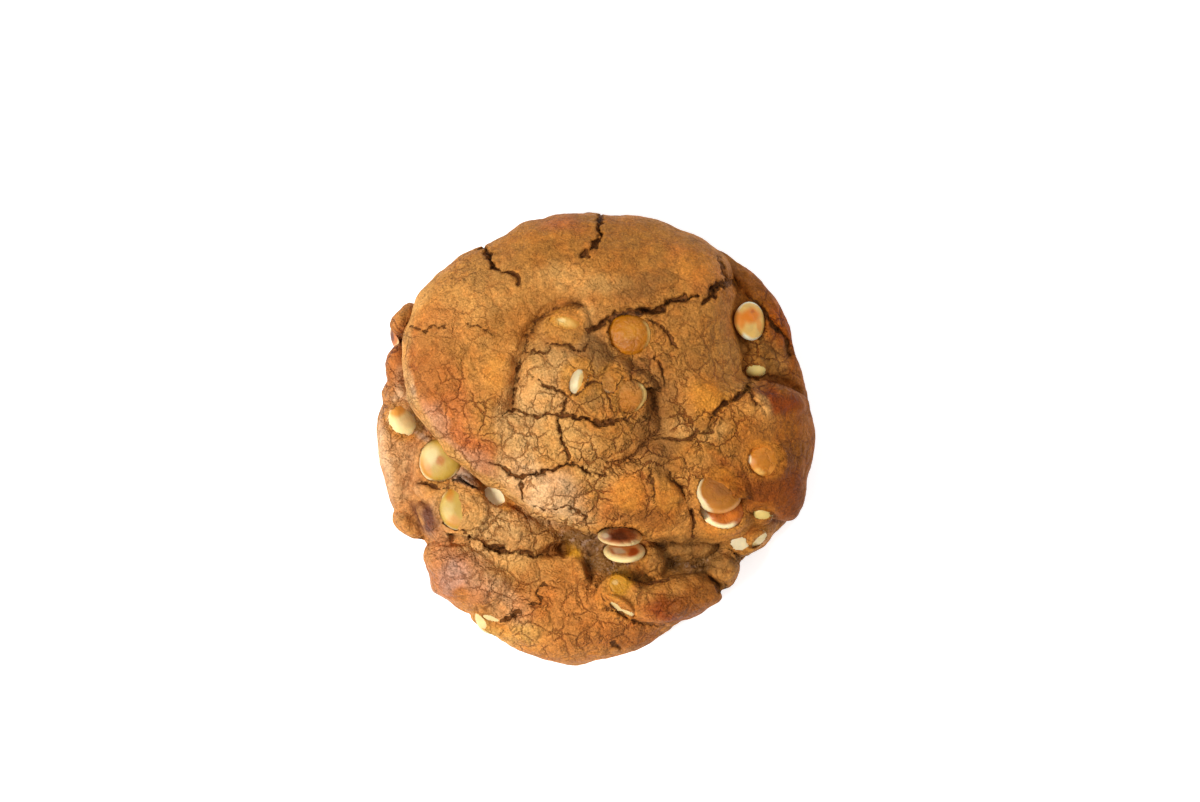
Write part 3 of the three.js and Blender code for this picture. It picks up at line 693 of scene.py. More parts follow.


# Dough lies a little below the bare parts of each chip, covers the rest thinly, and climbs its edge: as high
# as the shoulder round a flat chip, and only a little round a tilted one. The chip's surface over a point is
# the plane through its nearest upward vertex. Returns the moved points, the painted shade along the chips'
# edges and their glow in the dough over and round them.
def fitChips(points, dough):
    points = points.copy()
    shade = np.zeros(len(points))
    glow = np.zeros(len(points))
    for name, chip in chips.items():
        if dough not in chip["dough"]:
            continue
        shape = chipShapes[name]
        middle = shape["middle"]
        flat = 1 - smoothStep(*chipFit["flat"], chip["tilt"])
        least, more = chipFit["upward"]
        upward = shape["normals"][:, 2] > least + more * flat
        cloud, normals = shape["points"][upward], shape["normals"][upward]
        away = np.hypot(points[:, 0] - middle[0], points[:, 1] - middle[1])
        near = np.flatnonzero((away < chipFit["reach"]) & (points[:, 2] > middle[2] - chipFit["under"]))
        x, y, z = points[near].T
        gaps = np.hypot(x[:, None] - cloud[:, 0], y[:, None] - cloud[:, 1])
        nearest, closest = gaps.argmin(1), gaps.min(1)
        normal = normals[nearest]
        drop = normal[:, 0] * (x - cloud[nearest, 0]) + normal[:, 1] * (y - cloud[nearest, 1])
        top = cloud[nearest, 2] - np.clip(drop / normal[:, 2], -0.6, 0.6)
        shown = np.ones(len(near))
        if chip["bare"]:
            share = np.min([ellipseShare(x, y, *spot) for spot in chip["bare"]], 0)
            share = share + 0.1 * softNoise(points[near], 1.1, 57)
            shown = 1 - smoothStep(*chipFit["bareEdge"], share)
        over = (closest < chipFit["touch"]) & (z < top + chipFit["highest"])
        sunkTo = np.minimum(z, top - chipFit["sunk"])
        raisedTo = np.maximum(z, top + chipFit["cover"])
        covered = sunkTo * shown + raisedTo * (1 - shown)
        slope, steeper = chipFit["slope"]
        start, stop, nearer = chipFit["bankEnd"]
        fall = (slope + steeper * shown) * closest
        fall = fall + chipFit["drop"] * smoothStep(start, stop - nearer * shown, closest)
        bank, less = chipFit["bank"]
        climb = cloud[nearest, 2] + bank - less * shown - fall - chipFit["lowered"] * (1 - flat)
        climb = climb + 0.15 * softNoise(points[near], 1.3, 58)
        beside = z < middle[2] + chipFit["above"]
        height, wide = chipFit["hug"]
        hug = height * np.exp(-((closest - wide) / wide) ** 2) * beside
        climbed = np.where(z > middle[2] - 2.5, climb, z)
        points[near, 2] = np.where(over, covered, np.maximum(z + hug, climbed))
        # Painted shade in the dough just beside the chip's edge.
        line = smoothStep(0.2, 0.36, closest) * (1 - smoothStep(0.4, 0.9, closest)) * shown * beside
        dark, lighter = chipFit["edgeShade"]
        shade[near] = np.maximum(shade[near], (dark - lighter * flat) * line)
        tinted = chip["glow"] * (1 - smoothStep(0.3, 2.2, closest)) * (1 - over * shown)
        glow[near] = np.maximum(glow[near], tinted * beside)
    return points, shade, glow


tones = {key: linear(*colour) for key, colour in {
    "golden": (200, 136, 64), "olive": (172, 112, 44), "umber": (162, 106, 42), "tan": (216, 162, 92),
    "blush": (236, 194, 150), "orange": (202, 124, 56), "glow": (216, 142, 46), "red": (188, 104, 52),
    "rose": (206, 153, 118), "deep": (138, 69, 14), "brown": (160, 90, 20), "plum": (206, 162, 144),
    "char": (92, 48, 40), "grey": (140, 100, 50), "rust": (142, 62, 8), "amber": (216, 132, 44),
    "butter": (240, 190, 104), "yellow": (202, 145, 36), "taupe": (170, 122, 70), "ember": (174, 86, 4),
    "shade": (156, 104, 50), "milk": (200, 172, 150), "sand": (220, 172, 114),
}.items()}
warmth = np.array([1.0, 0.98, 0.92])    # the tones as they are under a white sky's reflections
browning = np.array([0.9, 0.76, 0.66])  # what they are multiplied by where the dough stands up

# Soft patches of colour: place, half sizes, turn in degrees, tone and how strong. Not all of it is the
# dough's own colour: the patches of the tone shade, and the umber patch at (9, 36), are painted shade in
# the creases round the mound, round the caramel chip and by the south lip; the plum patch on the south-west
# lobe is a painted highlight; and the blush and rose patches are partly the dough's colour and partly painted
# pinkish highlight.
patches = [
    ((4, 44), (44, 15), 0, "olive", 0.75), ((-8, 51), (7, 3), 10, "red", 0.6),
    ((10, 35.5), (8, 6), 5, "shade", 1), ((-3, 37), (13, 5), 0, "tan", 0.7),
    ((-28, 32), (15, 12), 40, "tan", 0.3), ((-20, 27), (7, 5), 40, "olive", 0.6),
    ((-35, 10), (7, 14), 26, "red", 0.65), ((-38, 4), (3, 7), 28, "rose", 0.7),
    ((-28.5, -2.5), (9, 3.8), -38, "red", 0.8), ((-32, -3.6), (6, 1.6), -38, "rose", 0.35),
    ((-38, 19), (9, 14), -4, "red", 0.3), ((-36, 18), (8, 9), 0, "olive", 0.45),
    ((-5, 21), (11, 11), 0, "taupe", 0.8), ((-10, 0), (13, 7), 0, "tan", 0.9),
    ((-14, 10), (4, 10), 10, "tan", 0.7), ((4, 3), (7, 5), 0, "olive", 0.6),
    ((16, 7), (6, 12), 0, "shade", 0.9), ((23, 24), (13, 10), 0, "umber", 0.6),
    ((26, 0), (12, 8), 0, "olive", 0.8), ((15.5, -0.5), (4.5, 6), 0, "shade", 0.9),
    ((20.4, 2.2), (3, 2.6), 0, "tan", 0.8), ((-10, -14), (8, 6), 0, "blush", 0.7),
    ((8, -13.5), (5, 5), 0, "orange", 0.8), ((17, -14), (4.5, 5.5), 0, "olive", 0.6),
    ((2, -20), (12, 4), 0, "orange", 0.7), ((20, -21), (12, 4), 0, "golden", 0.5),
    ((48, 0), (9, 22), 0, "brown", 0.9), ((43, -14), (9, 8), 0, "deep", 0.95),
    ((33, -9), (8, 6), 0, "brown", 0.6), ((43.6, 9.2), (8.5, 4), -24, "rust", 0.95),
    ((45, 26), (7, 17), 15, "brown", 0.9), ((44.6, 27), (4, 11), 15, "ember", 0.9),
    ((39, 38), (10, 9), 45, "brown", 0.85), ((42.5, 19), (4, 6), 0, "grey", 0.6),
    ((44.5, 17), (3, 3.4), 0, "golden", 0.5), ((24, 41), (7, 5.5), -30, "orange", 0.75),
    ((26.5, 10.5), (5, 4.8), 0, "glow", 0.7), ((-47, -4), (7, 18), 10, "rose", 0.5),
    ((-50.6, -6), (2.4, 13), 8, "blush", 0.65), ((-47, 20), (5, 12), 0, "red", 0.6),
    ((-24, -20), (14, 6), -20, "tan", 0.7), ((-24, -28), (9, 4), -12, "tan", 0.7),
    ((-18, -35), (9, 6), 0, "tan", 0.6), ((-34, -33), (9, 8), 30, "red", 0.6),
    ((-33.4, -33.6), (4.6, 3.4), 30, "plum", 0.8), ((-8, -43), (24, 11), 0, "orange", 0.7),
    ((8, -47.5), (9, 5), 10, "rust", 0.35), ((-18, -47), (9, 4), 0, "butter", 0.5),
    ((20, -39.5), (11, 5), 8, "rust", 1), ((14, -34), (14, 2.5), 0, "umber", 0.5),
    ((25, -28), (15, 5), 0, "grey", 0.8), ((14, -48), (12, 4), 20, "deep", 0.35),
    ((-0.5, 9), (4.6, 2.6), -5, "grey", 0.6), ((1, 17.5), (3, 5.5), 15, "grey", 0.55),
    ((-2.8, 29.4), (2, 3.8), 35, "tan", 0.8), ((-6.8, 26.8), (4, 2), -10, "orange", 0.6),
    ((-5.6, 14.6), (3.4, 3), 20, "yellow", 0.6), ((-7, 13.6), (1.5, 2.2), -18, "butter", 0.9),
    ((38.2, -3.2), (3.8, 3.4), -20, "amber", 1), ((31, -10.5), (6.4, 4.8), -15, "rust", 0.95),
    ((5.6, -35.3), (3.2, 3.4), 0, "yellow", 0.95), ((-14.5, 15), (2.6, 10), 10, "tan", 0.6),
    ((-4.4, -27.8), (2.1, 2.6), 0, "yellow", 1), ((1.9, -34), (1.7, 2.6), 0, "umber", 0.8),
    ((-18, 9), (4.5, 7), 0, "tan", 0.9), ((-18, 2), (6, 18), 0, "sand", 0.5),
    ((-26, -20), (15, 9), -20, "sand", 0.5), ((-46.5, -6), (4, 15), 8, "sand", 0.45),
    ((-9, 13), (6, 9), 0, "sand", 0.4), ((-9, -17), (10, 5), -15, "sand", 0.55),
    ((-19, -8), (7, 4.5), -20, "tan", 0.8), ((-9, 18), (5, 5), 0, "tan", 0.5),
    ((-45.5, 10), (3, 7), 0, "blush", 0.7), ((1, -8.5), (7, 3.5), 0, "tan", 0.6),
    ((-6, -19), (9, 2.6), -12, "tan", 0.7), ((9.8, 17.2), (5, 5), 0, "shade", 1),
    ((17, -8), (4, 5), 0, "shade", 0.6), ((13, -18.5), (7, 4), 0, "brown", 0.5),
    ((36, 1), (6, 5), 0, "brown", 0.6), ((27, -36), (5, 4), 0, "brown", 0.5),
    ((-30.5, -10), (5, 2), -34, "milk", 1), ((-41.3, 0.8), (1.6, 2.6), 20, "milk", 0.7),
    ((-37, -21), (5, 6), 0, "rose", 0.35), ((-38.9, -20.4), (4.6, 2.5), -55, "char", 0.9),
    ((39.4, 9), (2.3, 3.4), 20, "tan", 0.8), ((-17, -9.5), (8, 5), -30, "blush", 0.45),
    ((-27.5, -6), (5, 2.6), -38, "rose", 0.45), ((-31, -31), (10, 6), -30, "rose", 0.4),
    ((-22, -39), (9, 4), -32, "blush", 0.4), ((-26.5, -45), (4.6, 2.6), -35, "butter", 0.7),
    ((-45.5, 8), (3.6, 6), 0, "blush", 0.5), ((-9, -18), (8, 4), -15, "blush", 0.4),
    ((0, -10), (7, 4), 0, "tan", 0.5), ((27, 0.6), (4.4, 3.6), 0, "tan", 0.5),
    ((9, 36), (6, 5), 0, "umber", 0.35), ((36, 29), (5, 5), 0, "ember", 0.3),
    ((10, -19), (6, 3), 0, "shade", 0.6), ((18, 0), (4, 6), 0, "shade", 0.5),
    ((9.6, -4), (5, 4), -40, "shade", 0.5), ((8.5, 16.5), (4, 4), 0, "shade", 0.5),
    ((22.5, -39.4), (7, 3.6), 10, "umber", 0.5), ((27, -36), (5, 4), 0, "umber", 0.3),
    ((-28.6, -38), (4, 3), -35, "rose", 0.5), ((0, -27), (5, 2.4), -10, "milk", 0.3),
    ((14, -18), (8, 4), 0, "brown", 0.25),
]
# Browned, smoother skin that shines a little: place, half sizes, turn and how much.
shiny = [
    ((-30.5, -10), (5, 2), -34, 0.9), ((-33, 0), (10, 14), 28, 0.5), ((-35, -34), (8, 7), 30, 0.6),
    ((-38.4, -19.8), (5, 3), -52, 0.9), ((20, -39.5), (9, 4), 8, 0.5), ((44, 9), (7, 4), -24, 0.4),
    ((-47, -4), (5, 18), 10, 0.4),
]

# Chips wholly under the crust, which swell it and glow through it: place, half sizes, turn, swelling and how
# far they smooth its crackle.
coveredChips = [
    ((26.5, 10.5), (4.9, 4.7), 0, 1.5, 0.8), ((8, -13.2), (5, 5), 0, 1.4, 0.9),
    ((17, -13.5), (3.8, 5.2), 10, 1.1, 0.7), ((-22.5, 15.5), (4.4, 5), 0, 0.9, 0.8),
    ((24, 41), (5.6, 4.6), -30, 1.2, 0.8), ((-10, -14), (5.6, 5), 0, 1, 0.2),
    ((29.5, -22.4), (4.8, 2.4), 5, 1.4, 0.5), ((30.4, -9.6), (4.2, 3.4), -30, 0.8, 0.9),
]

# Hollows in the lower dough, sunk and given painted shade: place, half sizes, turn, how much painted shade
# (below 0, how much of the other painted shade is taken away) and how deep.
paintedShadeSpots = [
    ((37.7, 21.6), (1.8, 1.8), 0, 0.4, 0.6), ((22, -30.5), (6, 1.2), 0, 0.6, 0.8),
    ((11, -33.4), (5, 1), -8, 0.2, 0), ((-1, -26.8), (2.4, 1.6), 30, 0.6, 1),
    ((-7.6, -26.6), (2.2, 2.2), 20, 1.2, 2.6), ((-9.6, -26.8), (4.4, 2), 15, 1.1, 1.6),
    ((-1.8, -31.9), (0.9, 3.2), 20, 0.8, 1.2), ((-30.5, -10), (4.5, 2), -36, -1, 0),
    ((-41, 0.6), (1.6, 2.4), 20, -0.7, 0),
]

# Where the mound's foot meets the crust round it.
westCrease = [[-3.5, 31.6], [-5.9, 31.9], [-8, 31.4], [-10.2, 30.2], [-13, 28.3], [-14.6, 26.1],
              [-16.3, 23.6], [-16.6, 20.4], [-17.8, 18.2], [-18.4, 14.6], [-18.9, 11.1], [-19.4, 7.8]]
eastCrease = [[13.2, 10.8], [14.3, 7.8], [15.2, 4.8], [15.4, 2.3], [13.2, -0.1], [11.3, -2], [9, -4.2],
              [4.7, -6]]

# Valleys in the top: path, width, depth and how much painted shade lies along them.
valleys = [
    (westCrease, 1.7, 2.8, 0.6),
    (eastCrease, 1.7, 1.7, 0.55),
    ([[12, 26], [20, 24], [28, 22], [34, 18]], 8, 1.4, 0),
    ([[17, -7], [20.5, -12], [23, -18], [24, -24]], 2.2, 1.8, 0.3),
    ([[36, 34], [35.2, 30], [35.2, 26], [36, 20], [38, 15.6], [43, 14], [48, 11.6]], 1.3, 1.8, 0.25),
    ([[39.4, 31.8], [42, 27.2], [43.3, 26], [45.7, 23.3], [46.7, 19.4]], 1, 1.2, 0.5),
    ([[29.5, 44], [30.2, 41], [30.8, 39.6], [32.3, 37.4], [34.5, 35.7]], 1.2, 1.6, 0.5),
]
# Splits in the crust: path, width across the top and depth.
splits = [
    ([[-1.5, 25.6], [1, 26], [3, 27.5], [5.5, 29], [8, 30], [12, 30], [15.5, 30.2], [17, 32], [20, 32.6],
      [24, 33.5]], 1.3, 3),
    ([[25.4, 31.8], [27.5, 33.5], [28.5, 35.5], [31, 36.8], [33, 37.3]], 1.5, 3),
    ([[2, 55], [0.6, 50], [1.3, 47.5], [0.3, 46], [-1, 44.5], [-3, 43]], 1.3, 2.8),
    ([[-29.5, 50.5], [-27.5, 47], [-26, 44.5], [-25, 42.5], [-24.4, 40.6], [-22.8, 39.8]], 2.1, 3),
    ([[-24.6, 41.3], [-23, 39.8], [-20, 39.4], [-18.3, 38], [-18.5, 36]], 0.7, 1.4),
    ([[36.8, 14.6], [35.9, 11.7], [33.5, 9.3], [30.5, 7.3], [27.8, 4.6]], 0.9, 2),
    ([[27.8, 4.6], [26.8, 2.8], [27.5, 1.1], [25.6, 1.3], [23.8, 2.3]], 0.4, 0.6),
    ([[15, 0.4], [17, 0.2], [20.1, -0.7], [23, 0.1], [24.4, 2.2]], 0.45, 0.8),
    ([[-22, 5.9], [-18.2, 6.5], [-16.8, 6.4], [-15.7, 5.3], [-13.5, 4.9], [-10.8, 5.2],
      [-8.2, 5.6]], 0.45, 1),
    ([[-9.5, 5.4], [-6.4, 5.3], [-4.2, 4.8], [-2.3, 4.2], [-1, 3.4], [1.8, 3.3], [4, 3.8], [5.6, 4.4],
      [8.2, 4.7]], 0.9, 1.6),
    ([[-3.1, 10.4], [-2, 12.2], [-1, 13.3], [1, 13.5], [2.2, 12.8], [2.7, 11.1], [3.7, 10.4], [5.1, 11.3],
      [6.2, 13.5], [6.4, 14.9]], 0.4, 0.9),
    ([[37.5, 12.5], [37, 10.5], [38.2, 8.2], [40.6, 5.6]], 0.45, 0.7),
    ([[2.7, 10.8], [2.9, 8.6], [3.6, 7], [5, 5.6]], 0.35, 0.5),
    ([[-5.6, 10.2], [-6.8, 8.6], [-7.5, 6], [-8.5, 5], [-8.4, 2.4], [-7.9, -0.4], [-7.2, -3],
      [-6.4, -5.4]], 0.55, 1.2),
    ([[-15.6, 15.2], [-13.5, 13.3], [-11.3, 12.4], [-9.7, 11.6], [-7.5, 10.8], [-6, 10.2],
      [-3, 10.3]], 0.45, 0.8),
    ([[-12, 22.6], [-10.4, 22], [-8.6, 22.3], [-6.1, 21.7], [-4.2, 21], [-2.3, 20.9],
      [-1.4, 22.4]], 0.45, 0.9),
    ([[-17, 20], [-15, 20.2], [-12, 20], [-10.5, 21.5]], 0.45, 0.7),
    ([[-24.5, -5.8], [-22, -7.4], [-19, -9], [-16, -9], [-13, -8.3], [-10, -7.3], [-6, -6.2], [-3.5, -7],
      [-1, -8.3], [2.5, -9]], 0.6, 1.4),
    (westCrease, 0.42, 0.6),
    (eastCrease, 0.3, 0.4),
    ([[14.3, 20], [15.5, 17], [16.7, 13]], 0.5, 0.8),
    ([[12, 28], [15, 27], [18, 24], [19.3, 21]], 0.5, 0.8),
    ([[17, -8], [19, -10.5], [21, -12.5], [22, -15], [23.3, -18], [23.3, -22], [24, -24]], 0.45, 1),
    ([[12.6, -6.4], [13.3, -9], [13.9, -12], [13.8, -15]], 0.3, 0.5),
    ([[-17.5, -10], [-17.6, -12.5], [-17, -15]], 0.45, 0.8),
    ([[-15, -16], [-11, -17.5], [-7, -16.5], [-3, -18.5], [-2, -21]], 0.3, 0.4),
    ([[-45, 26], [-42.5, 26.1], [-40.5, 25.2], [-38, 26.4], [-35.5, 25.8]], 0.35, 0.6),
    ([[-30, 27.4], [-28.5, 26.6], [-26, 25.4], [-23, 24]], 0.3, 0.4),
    ([[-36, -20.8], [-34, -21.5], [-31, -23], [-28, -24.8], [-25, -26.3], [-22, -26.8], [-20, -27.5],
      [-17, -27], [-14.5, -28.5], [-12.5, -28]], 0.85, 1.5),
    ([[34.5, 35.7], [36.2, 33.5], [38.8, 32.3], [41, 29.5], [42.5, 26.8], [44.6, 24.8], [45.9, 22.8],
      [46.7, 19.4]], 0.5, 0.9),
    ([[29.5, 43.5], [30.2, 41], [30.6, 39.6], [32.3, 37.4], [34.5, 35.7]], 0.6, 1),
    ([[3.5, -49.5], [5, -49.8], [6.5, -50.7]], 0.7, 1),
    ([[-22.2, -44], [-20.6, -43.2], [-18.9, -42], [-17.7, -41.3]], 1, 1.6),
    ([[-43.5, -11.4], [-40, -11.2], [-37, -11.9], [-34, -11.1]], 0.5, 1),
    ([[0.8, -36.5], [2.4, -39.8], [7, -42.6], [13, -44.8], [19, -44.6]], 0.4, 0.8),
    ([[6, -32.2], [10, -34.2], [14, -34.6], [18, -33]], 0.5, 0.9),
    ([[27, -33], [29.5, -36], [31, -37.6], [31.4, -35.4]], 0.7, 1.2),
    ([[-9, -35.5], [-12.5, -35], [-14, -36.5], [-13, -39.5], [-16, -40]], 0.5, 0.8),
]


# A crumbly edge: how far an outline strays outwards, by the angle about the cookie's middle.
def edgeWobble(x, y):
    angle = np.arctan2(y, x)
    return 0.25 * np.sin(11 * angle + 1) + 0.2 * np.sin(23 * angle + 2) + 0.12 * np.sin(41 * angle)


# Low swells all over the dough.
def undulation(x, y):
    return 0.45 * np.sin(0.21 * x + 0.4) * np.cos(0.19 * y - 0.8) + 0.3 * np.sin(0.37 * x - 0.29 * y + 1)


# The dough's lobes, in millimetres. Each is a dome on an outline seen from above, which falls from its crown
# to its rim; the fuller it is, the steeper its edge. Two of them have a flat underside: keel is its height,
# and foot how wide it is as a share of the outline.
crust = {
    "centre": (4, 11), "rim": 13.5, "crown": 27.5, "fullness": 3.2, "keel": 4, "foot": 0.86,
    "rise": (228, 5),       # the bearing that its rim climbs towards, and by how much
    "steep": (25, 25, 3.5),     # where its edge is fuller: bearing, width in degrees and by how much
    # Painted light on the rounded lip that faces the key light
    "litLip": (135, 160, 250, 276),    # bearings where its rounded lip turns pale, and turns brown again
    "outline": [[52.2, -2], [51, 8.5], [46, 12], [41, 13.6], [36.4, 15], [34.8, 22], [33.6, 29], [33.8, 36],
                [31.4, 43.4], [20.5, 49.8], [9, 53.2], [-4, 53.5], [-15, 51.8], [-25.5, 46.6], [-34, 42],
                [-41, 35.2], [-45, 28], [-45.9, 20], [-45, 11.5], [-41.5, 4], [-36, -2.8], [-30, -8.2],
                [-22, -13.4], [-14, -18.8], [-6, -21.3], [4, -24], [13, -24.6], [24, -25.2], [33, -24.4],
                [41, -19.8], [47.5, -19.6], [50.5, -13.5]],
}
mound = {
    "centre": (-4, 14), "rim": 24.4, "crown": 31, "fullness": 2.8,
    "outline": [[13, 4], [10, 13], [4.5, 20.5], [-0.5, 26.5], [-5, 31], [-11, 29.3], [-15.5, 24], [-18, 16],
                [-19, 8], [-15, 0], [-7, -5], [3, -6.5], [10.5, -3]],
}
base = {
    "centre": (0, 0), "rim": 6, "crown": 15, "fullness": 5, "keel": 0, "foot": 0.93,
    "outline": [[51.2, 0], [50, 14], [44.6, 30.5], [33, 43], [16, 50], [-2, 52.2], [-18.6, 48.1], [-33, 39.8],
                [-43, 29], [-48.4, 15], [-50.4, 0], [-47.6, -16], [-39, -27.5], [-36, -36], [-24, -46],
                [-6, -52], [13, -48], [28, -38], [36, -28.8], [46, -20], [50.6, -9]],
}
shelf = {
    "centre": (-26, -19), "rim": 13, "crown": 18, "fullness": 3,
    "outline": [[-43.5, -11.5], [-40, -16.5], [-36, -22], [-28, -25.5], [-19, -27.6], [-12.5, -28],
                [-8.5, -25.5], [-12, -20.8], [-20, -16], [-27, -12.6], [-33, -10], [-39, -9.6]],
}
southWest = {
    "centre": (-30, -33), "rim": 7.5, "crown": 17, "fullness": 2.8,
    "outline": [[-41.3, -28.5], [-39.8, -33.5], [-38.8, -37], [-33.5, -40], [-28, -42.7], [-21.5, -43.6],
                [-18, -38], [-20, -31.5], [-26, -27], [-34, -24.4], [-39, -25]],
}
south = {
    "centre": (-6, -41), "rim": 6, "crown": 17, "fullness": 3,
    "outline": [[-29.5, -43], [-24, -48], [-16, -51.9], [-6, -54.3], [5, -52.4], [12, -50.2], [18, -45.8],
                [20, -41], [12, -34], [0, -29.5], [-9, -28.8], [-18, -30.4], [-25, -36]],
}
southFlap = {
    "centre": (15, -38.3), "rim": 15, "crown": 20.5, "fullness": 2.6,
    "outline": [[30.4, -37.8], [25, -33], [17, -33], [11, -34.6], [4.5, -32.6], [0.4, -36.5], [2.5, -39.6],
                [8, -42.6], [14, -44.4], [20, -43.8], [26.5, -41.2]],
}
west = {
    "centre": (-47, -4), "rim": 6, "crown": 13.5, "fullness": 2.6,
    "outline": [[-52.5, 3], [-51.7, -5], [-49.9, -12.5], [-47.5, -18], [-43.5, -15], [-41.8, -6], [-42.5, 3],
                [-47, 8.2], [-51, 7.6]],
}
eastBelow = {
    "centre": (38, -21.5), "rim": 9, "crown": 16, "fullness": 2.6,
    "outline": [[43.5, -21.6], [42.6, -17.6], [38, -17], [33, -20], [32, -26.5], [35.5, -28.4],
                [40.5, -25.7]],
}


# A small lump: an ellipse seen from above.
def lump(at, size, turn, rim, crown):
    around = np.arange(8) / 8 * 2 * math.pi
    angle = math.radians(turn)
    u, v = size[0] * np.cos(around), size[1] * np.sin(around)
    outline = np.column_stack([at[0] + u * math.cos(angle) - v * math.sin(angle),
                               at[1] + u * math.sin(angle) + v * math.cos(angle)])
    return {"centre": at, "rim": rim, "crown": crown, "fullness": 2.2, "outline": outline}


lowerLumps = [
    lump((-47.4, 10.6), (3.4, 4.2), 0, 8, 13.5),
    lump((-47, 17.6), (3.2, 5.2), -10, 8, 13.5),
    lump((-45.6, 28.2), (3, 4.2), -30, 11, 16.5),
    lump((-38.4, -20.4), (6.3, 2.7), -52, 11, 17),
    lump((-44.6, -20.8), (4.6, 2.6), -42, 6.5, 11.5),
    lump((22, -26.6), (7, 2.5), 6, 13, 17),
    lump((30.4, -31.4), (4.2, 4.8), 0, 11, 15.5),
    lump((22.6, -30), (3.8, 2.3), -30, 11, 14.6),
    lump((14, -29.4), (3, 4.8), 14, 14, 19),
    lump((-3.4, -32.6), (2.2, 4.6), 14, 14, 18.4),
    lump((-4.4, -27.8), (1.7, 2.2), 0, 12, 16),
    lump((-29.6, -9.9), (3.6, 1.5), -36, 12, 16.6),
    lump((-1, 52), (2.8, 1.9), 0, 7, 13),
]
knob = lump((43.6, 9.4), (7, 3.8), -24, 18, 22.5)
lowerLobes = [base, shelf, southWest, south, southFlap, west, eastBelow] + lowerLumps


# The radius of a lobe's outline at each angle about its centre.
def outlineRadius(lobe, angle):
    curve = smoothCurve(lobe["outline"], closed=True) - lobe["centre"]
    bearing = np.arctan2(curve[:, 1], curve[:, 0])
    order = np.argsort(bearing)
    radius = np.hypot(*curve.T)
    return np.interp(angle, bearing[order], radius[order], period=2 * math.pi)


# How far out a point is in a lobe, as a share of the lobe's radius there (1 on its outline), and that radius.
def outlineShare(lobe, x, y):
    dx, dy = x - lobe["centre"][0], y - lobe["centre"][1]
    radius = outlineRadius(lobe, np.arctan2(dy, dx))
    return np.hypot(dx, dy) / radius, radius


# The height of a lobe's top: from its crown it falls to its rim as sqrt(1 - share^fullness), and past its
# outline it drops steeply.
def lobeHeight(lobe, x, y):
    share, radius = outlineShare(lobe, x, y)
    dome = np.sqrt(np.clip(1 - np.clip(share, 0, 1) ** lobe["fullness"], 0, 1))
    top = lobe["rim"] + (lobe["crown"] + undulation(x, y) - lobe["rim"]) * dome
    return top - 2.4 * radius * np.clip(share - 1, 0, 9)


# One outline round every lower lobe, as a radius at each angle: the furthest point of any lobe in each
# sector.
def unionRadius(lobes, centre, angle):
    sectors = 720
    furthest = np.zeros(sectors)
    for lobe in lobes:
        curve = smoothCurve(lobe["outline"], closed=True, stepsPerSpan=160) - centre
        sector = (np.arctan2(curve[:, 1], curve[:, 0]) / (2 * math.pi) % 1 * sectors).astype(int) % sectors
        np.maximum.at(furthest, sector, np.hypot(*curve.T))
    furthest = 0.5 * furthest + 0.25 * np.roll(furthest, 1) + 0.25 * np.roll(furthest, -1)
    return np.interp(angle, (np.arange(sectors) + 0.5) / sectors * 2 * math.pi, furthest, period=2 * math.pi)


# Where a disc grid's vertices lie between the centre (0) and the outline (1), so that they are evenly spaced
# along a dome that falls by drop across this radius.
def evenShares(t, radius, drop, fullness):
    turned = np.linspace(0, math.pi / 2, 6000)
    shares = np.sin(turned) ** (2 / fullness)
    step = np.hypot(np.diff(shares) * radius, np.diff(np.cos(turned)) * drop)
    along = np.concatenate([[0], np.cumsum(step)]) / step.sum()
    return np.interp(t, along, shares)


# The underside: from the rim it draws in to a flat foot as a quarter ellipse.
def closeBelow(x, y, z, centre, keel, foot, n, ringCount):
    quads, fans, edge = pebbleFaces(n, ringCount)
    rows = [np.column_stack([x, y, z])]
    for turned in np.arange(1, ringCount + 1) / ringCount * math.pi / 2:
        drawn = 1 - (1 - foot) * (1 - math.cos(turned))
        fallen = z[edge] - (z[edge] - keel) * math.sin(turned)
        rows.append(np.column_stack([centre[0] + (x[edge] - centre[0]) * drawn,
                                     centre[1] + (y[edge] - centre[1]) * drawn, fallen]))
    rows.append([[*centre, keel]])
    return np.vstack(rows), quads, fans


# Where a disc grid's vertices lie when it is spread over an outline with a crumbly edge, and how far out each
# is.
def spreadGrid(t, angle, radius, centre, drop, fullness):
    share = evenShares(t, radius.mean(), drop, fullness)
    radius = radius + edgeWobble(centre[0] + radius * np.cos(angle), centre[1] + radius * np.sin(angle))
    return centre[0] + radius * share * np.cos(angle), centre[1] + radius * share * np.sin(angle), share


# Lowers heights along each valley's path by depth * exp(-(distance / width)^2).
def carveValleys(z, x, y, chosen):
    for path, width, depth, much in chosen:
        near = pathField(x, y, path, 3 * width)[0] / width
        z = z - depth * np.exp(-near * near)
    return z


# The crust: from its top, with its swells, valleys and covered chips, it falls to its rim as
# sqrt(1 - share^fullness), and the mound and the knob stand out of it.
def crustSurface(n, ringCount):
    t, angle = discGrid(n)
    radius = outlineRadius(crust, angle)
    drop = crust["crown"] - crust["rim"]
    x, y, share = spreadGrid(t, angle, radius, crust["centre"], drop, crust["fullness"])
    towards, extra = crust["rise"]
    rim = crust["rim"] + extra * np.cos(angle - math.radians(towards))
    top = carveValleys(crust["crown"] + undulation(x, y), x, y, valleys)
    for at, size, turn, swell, smooth in coveredChips:
        top = top + swell * softEllipse(x, y, 0.45, 1.2, at, size, turn)
    top = smoothMax(top, lobeHeight(mound, x, y), 0.7)
    bearing, width, fuller = crust["steep"]
    off = (np.degrees(angle) + 180) % 360 - (180 + bearing)
    steeper = fuller * np.exp(-(off / width) ** 2)
    dome = np.sqrt(np.clip(1 - share ** (crust["fullness"] + steeper), 0, 1))
    z = smoothMax(rim + (top - rim) * dome, lobeHeight(knob, x, y), 1.2)
    z = np.where(t > 0.9999, rim, z)
    return closeBelow(x, y, z, crust["centre"], crust["keel"], crust["foot"], n, ringCount)


lower = {
    "centre": (-4, -18), "drop": 9, "fullness": 4,      # how its grid is spread
    "lowest": 4.5,          # the height that no dip goes below
    "valleys": 3,           # how many of the last valleys cross it too
}


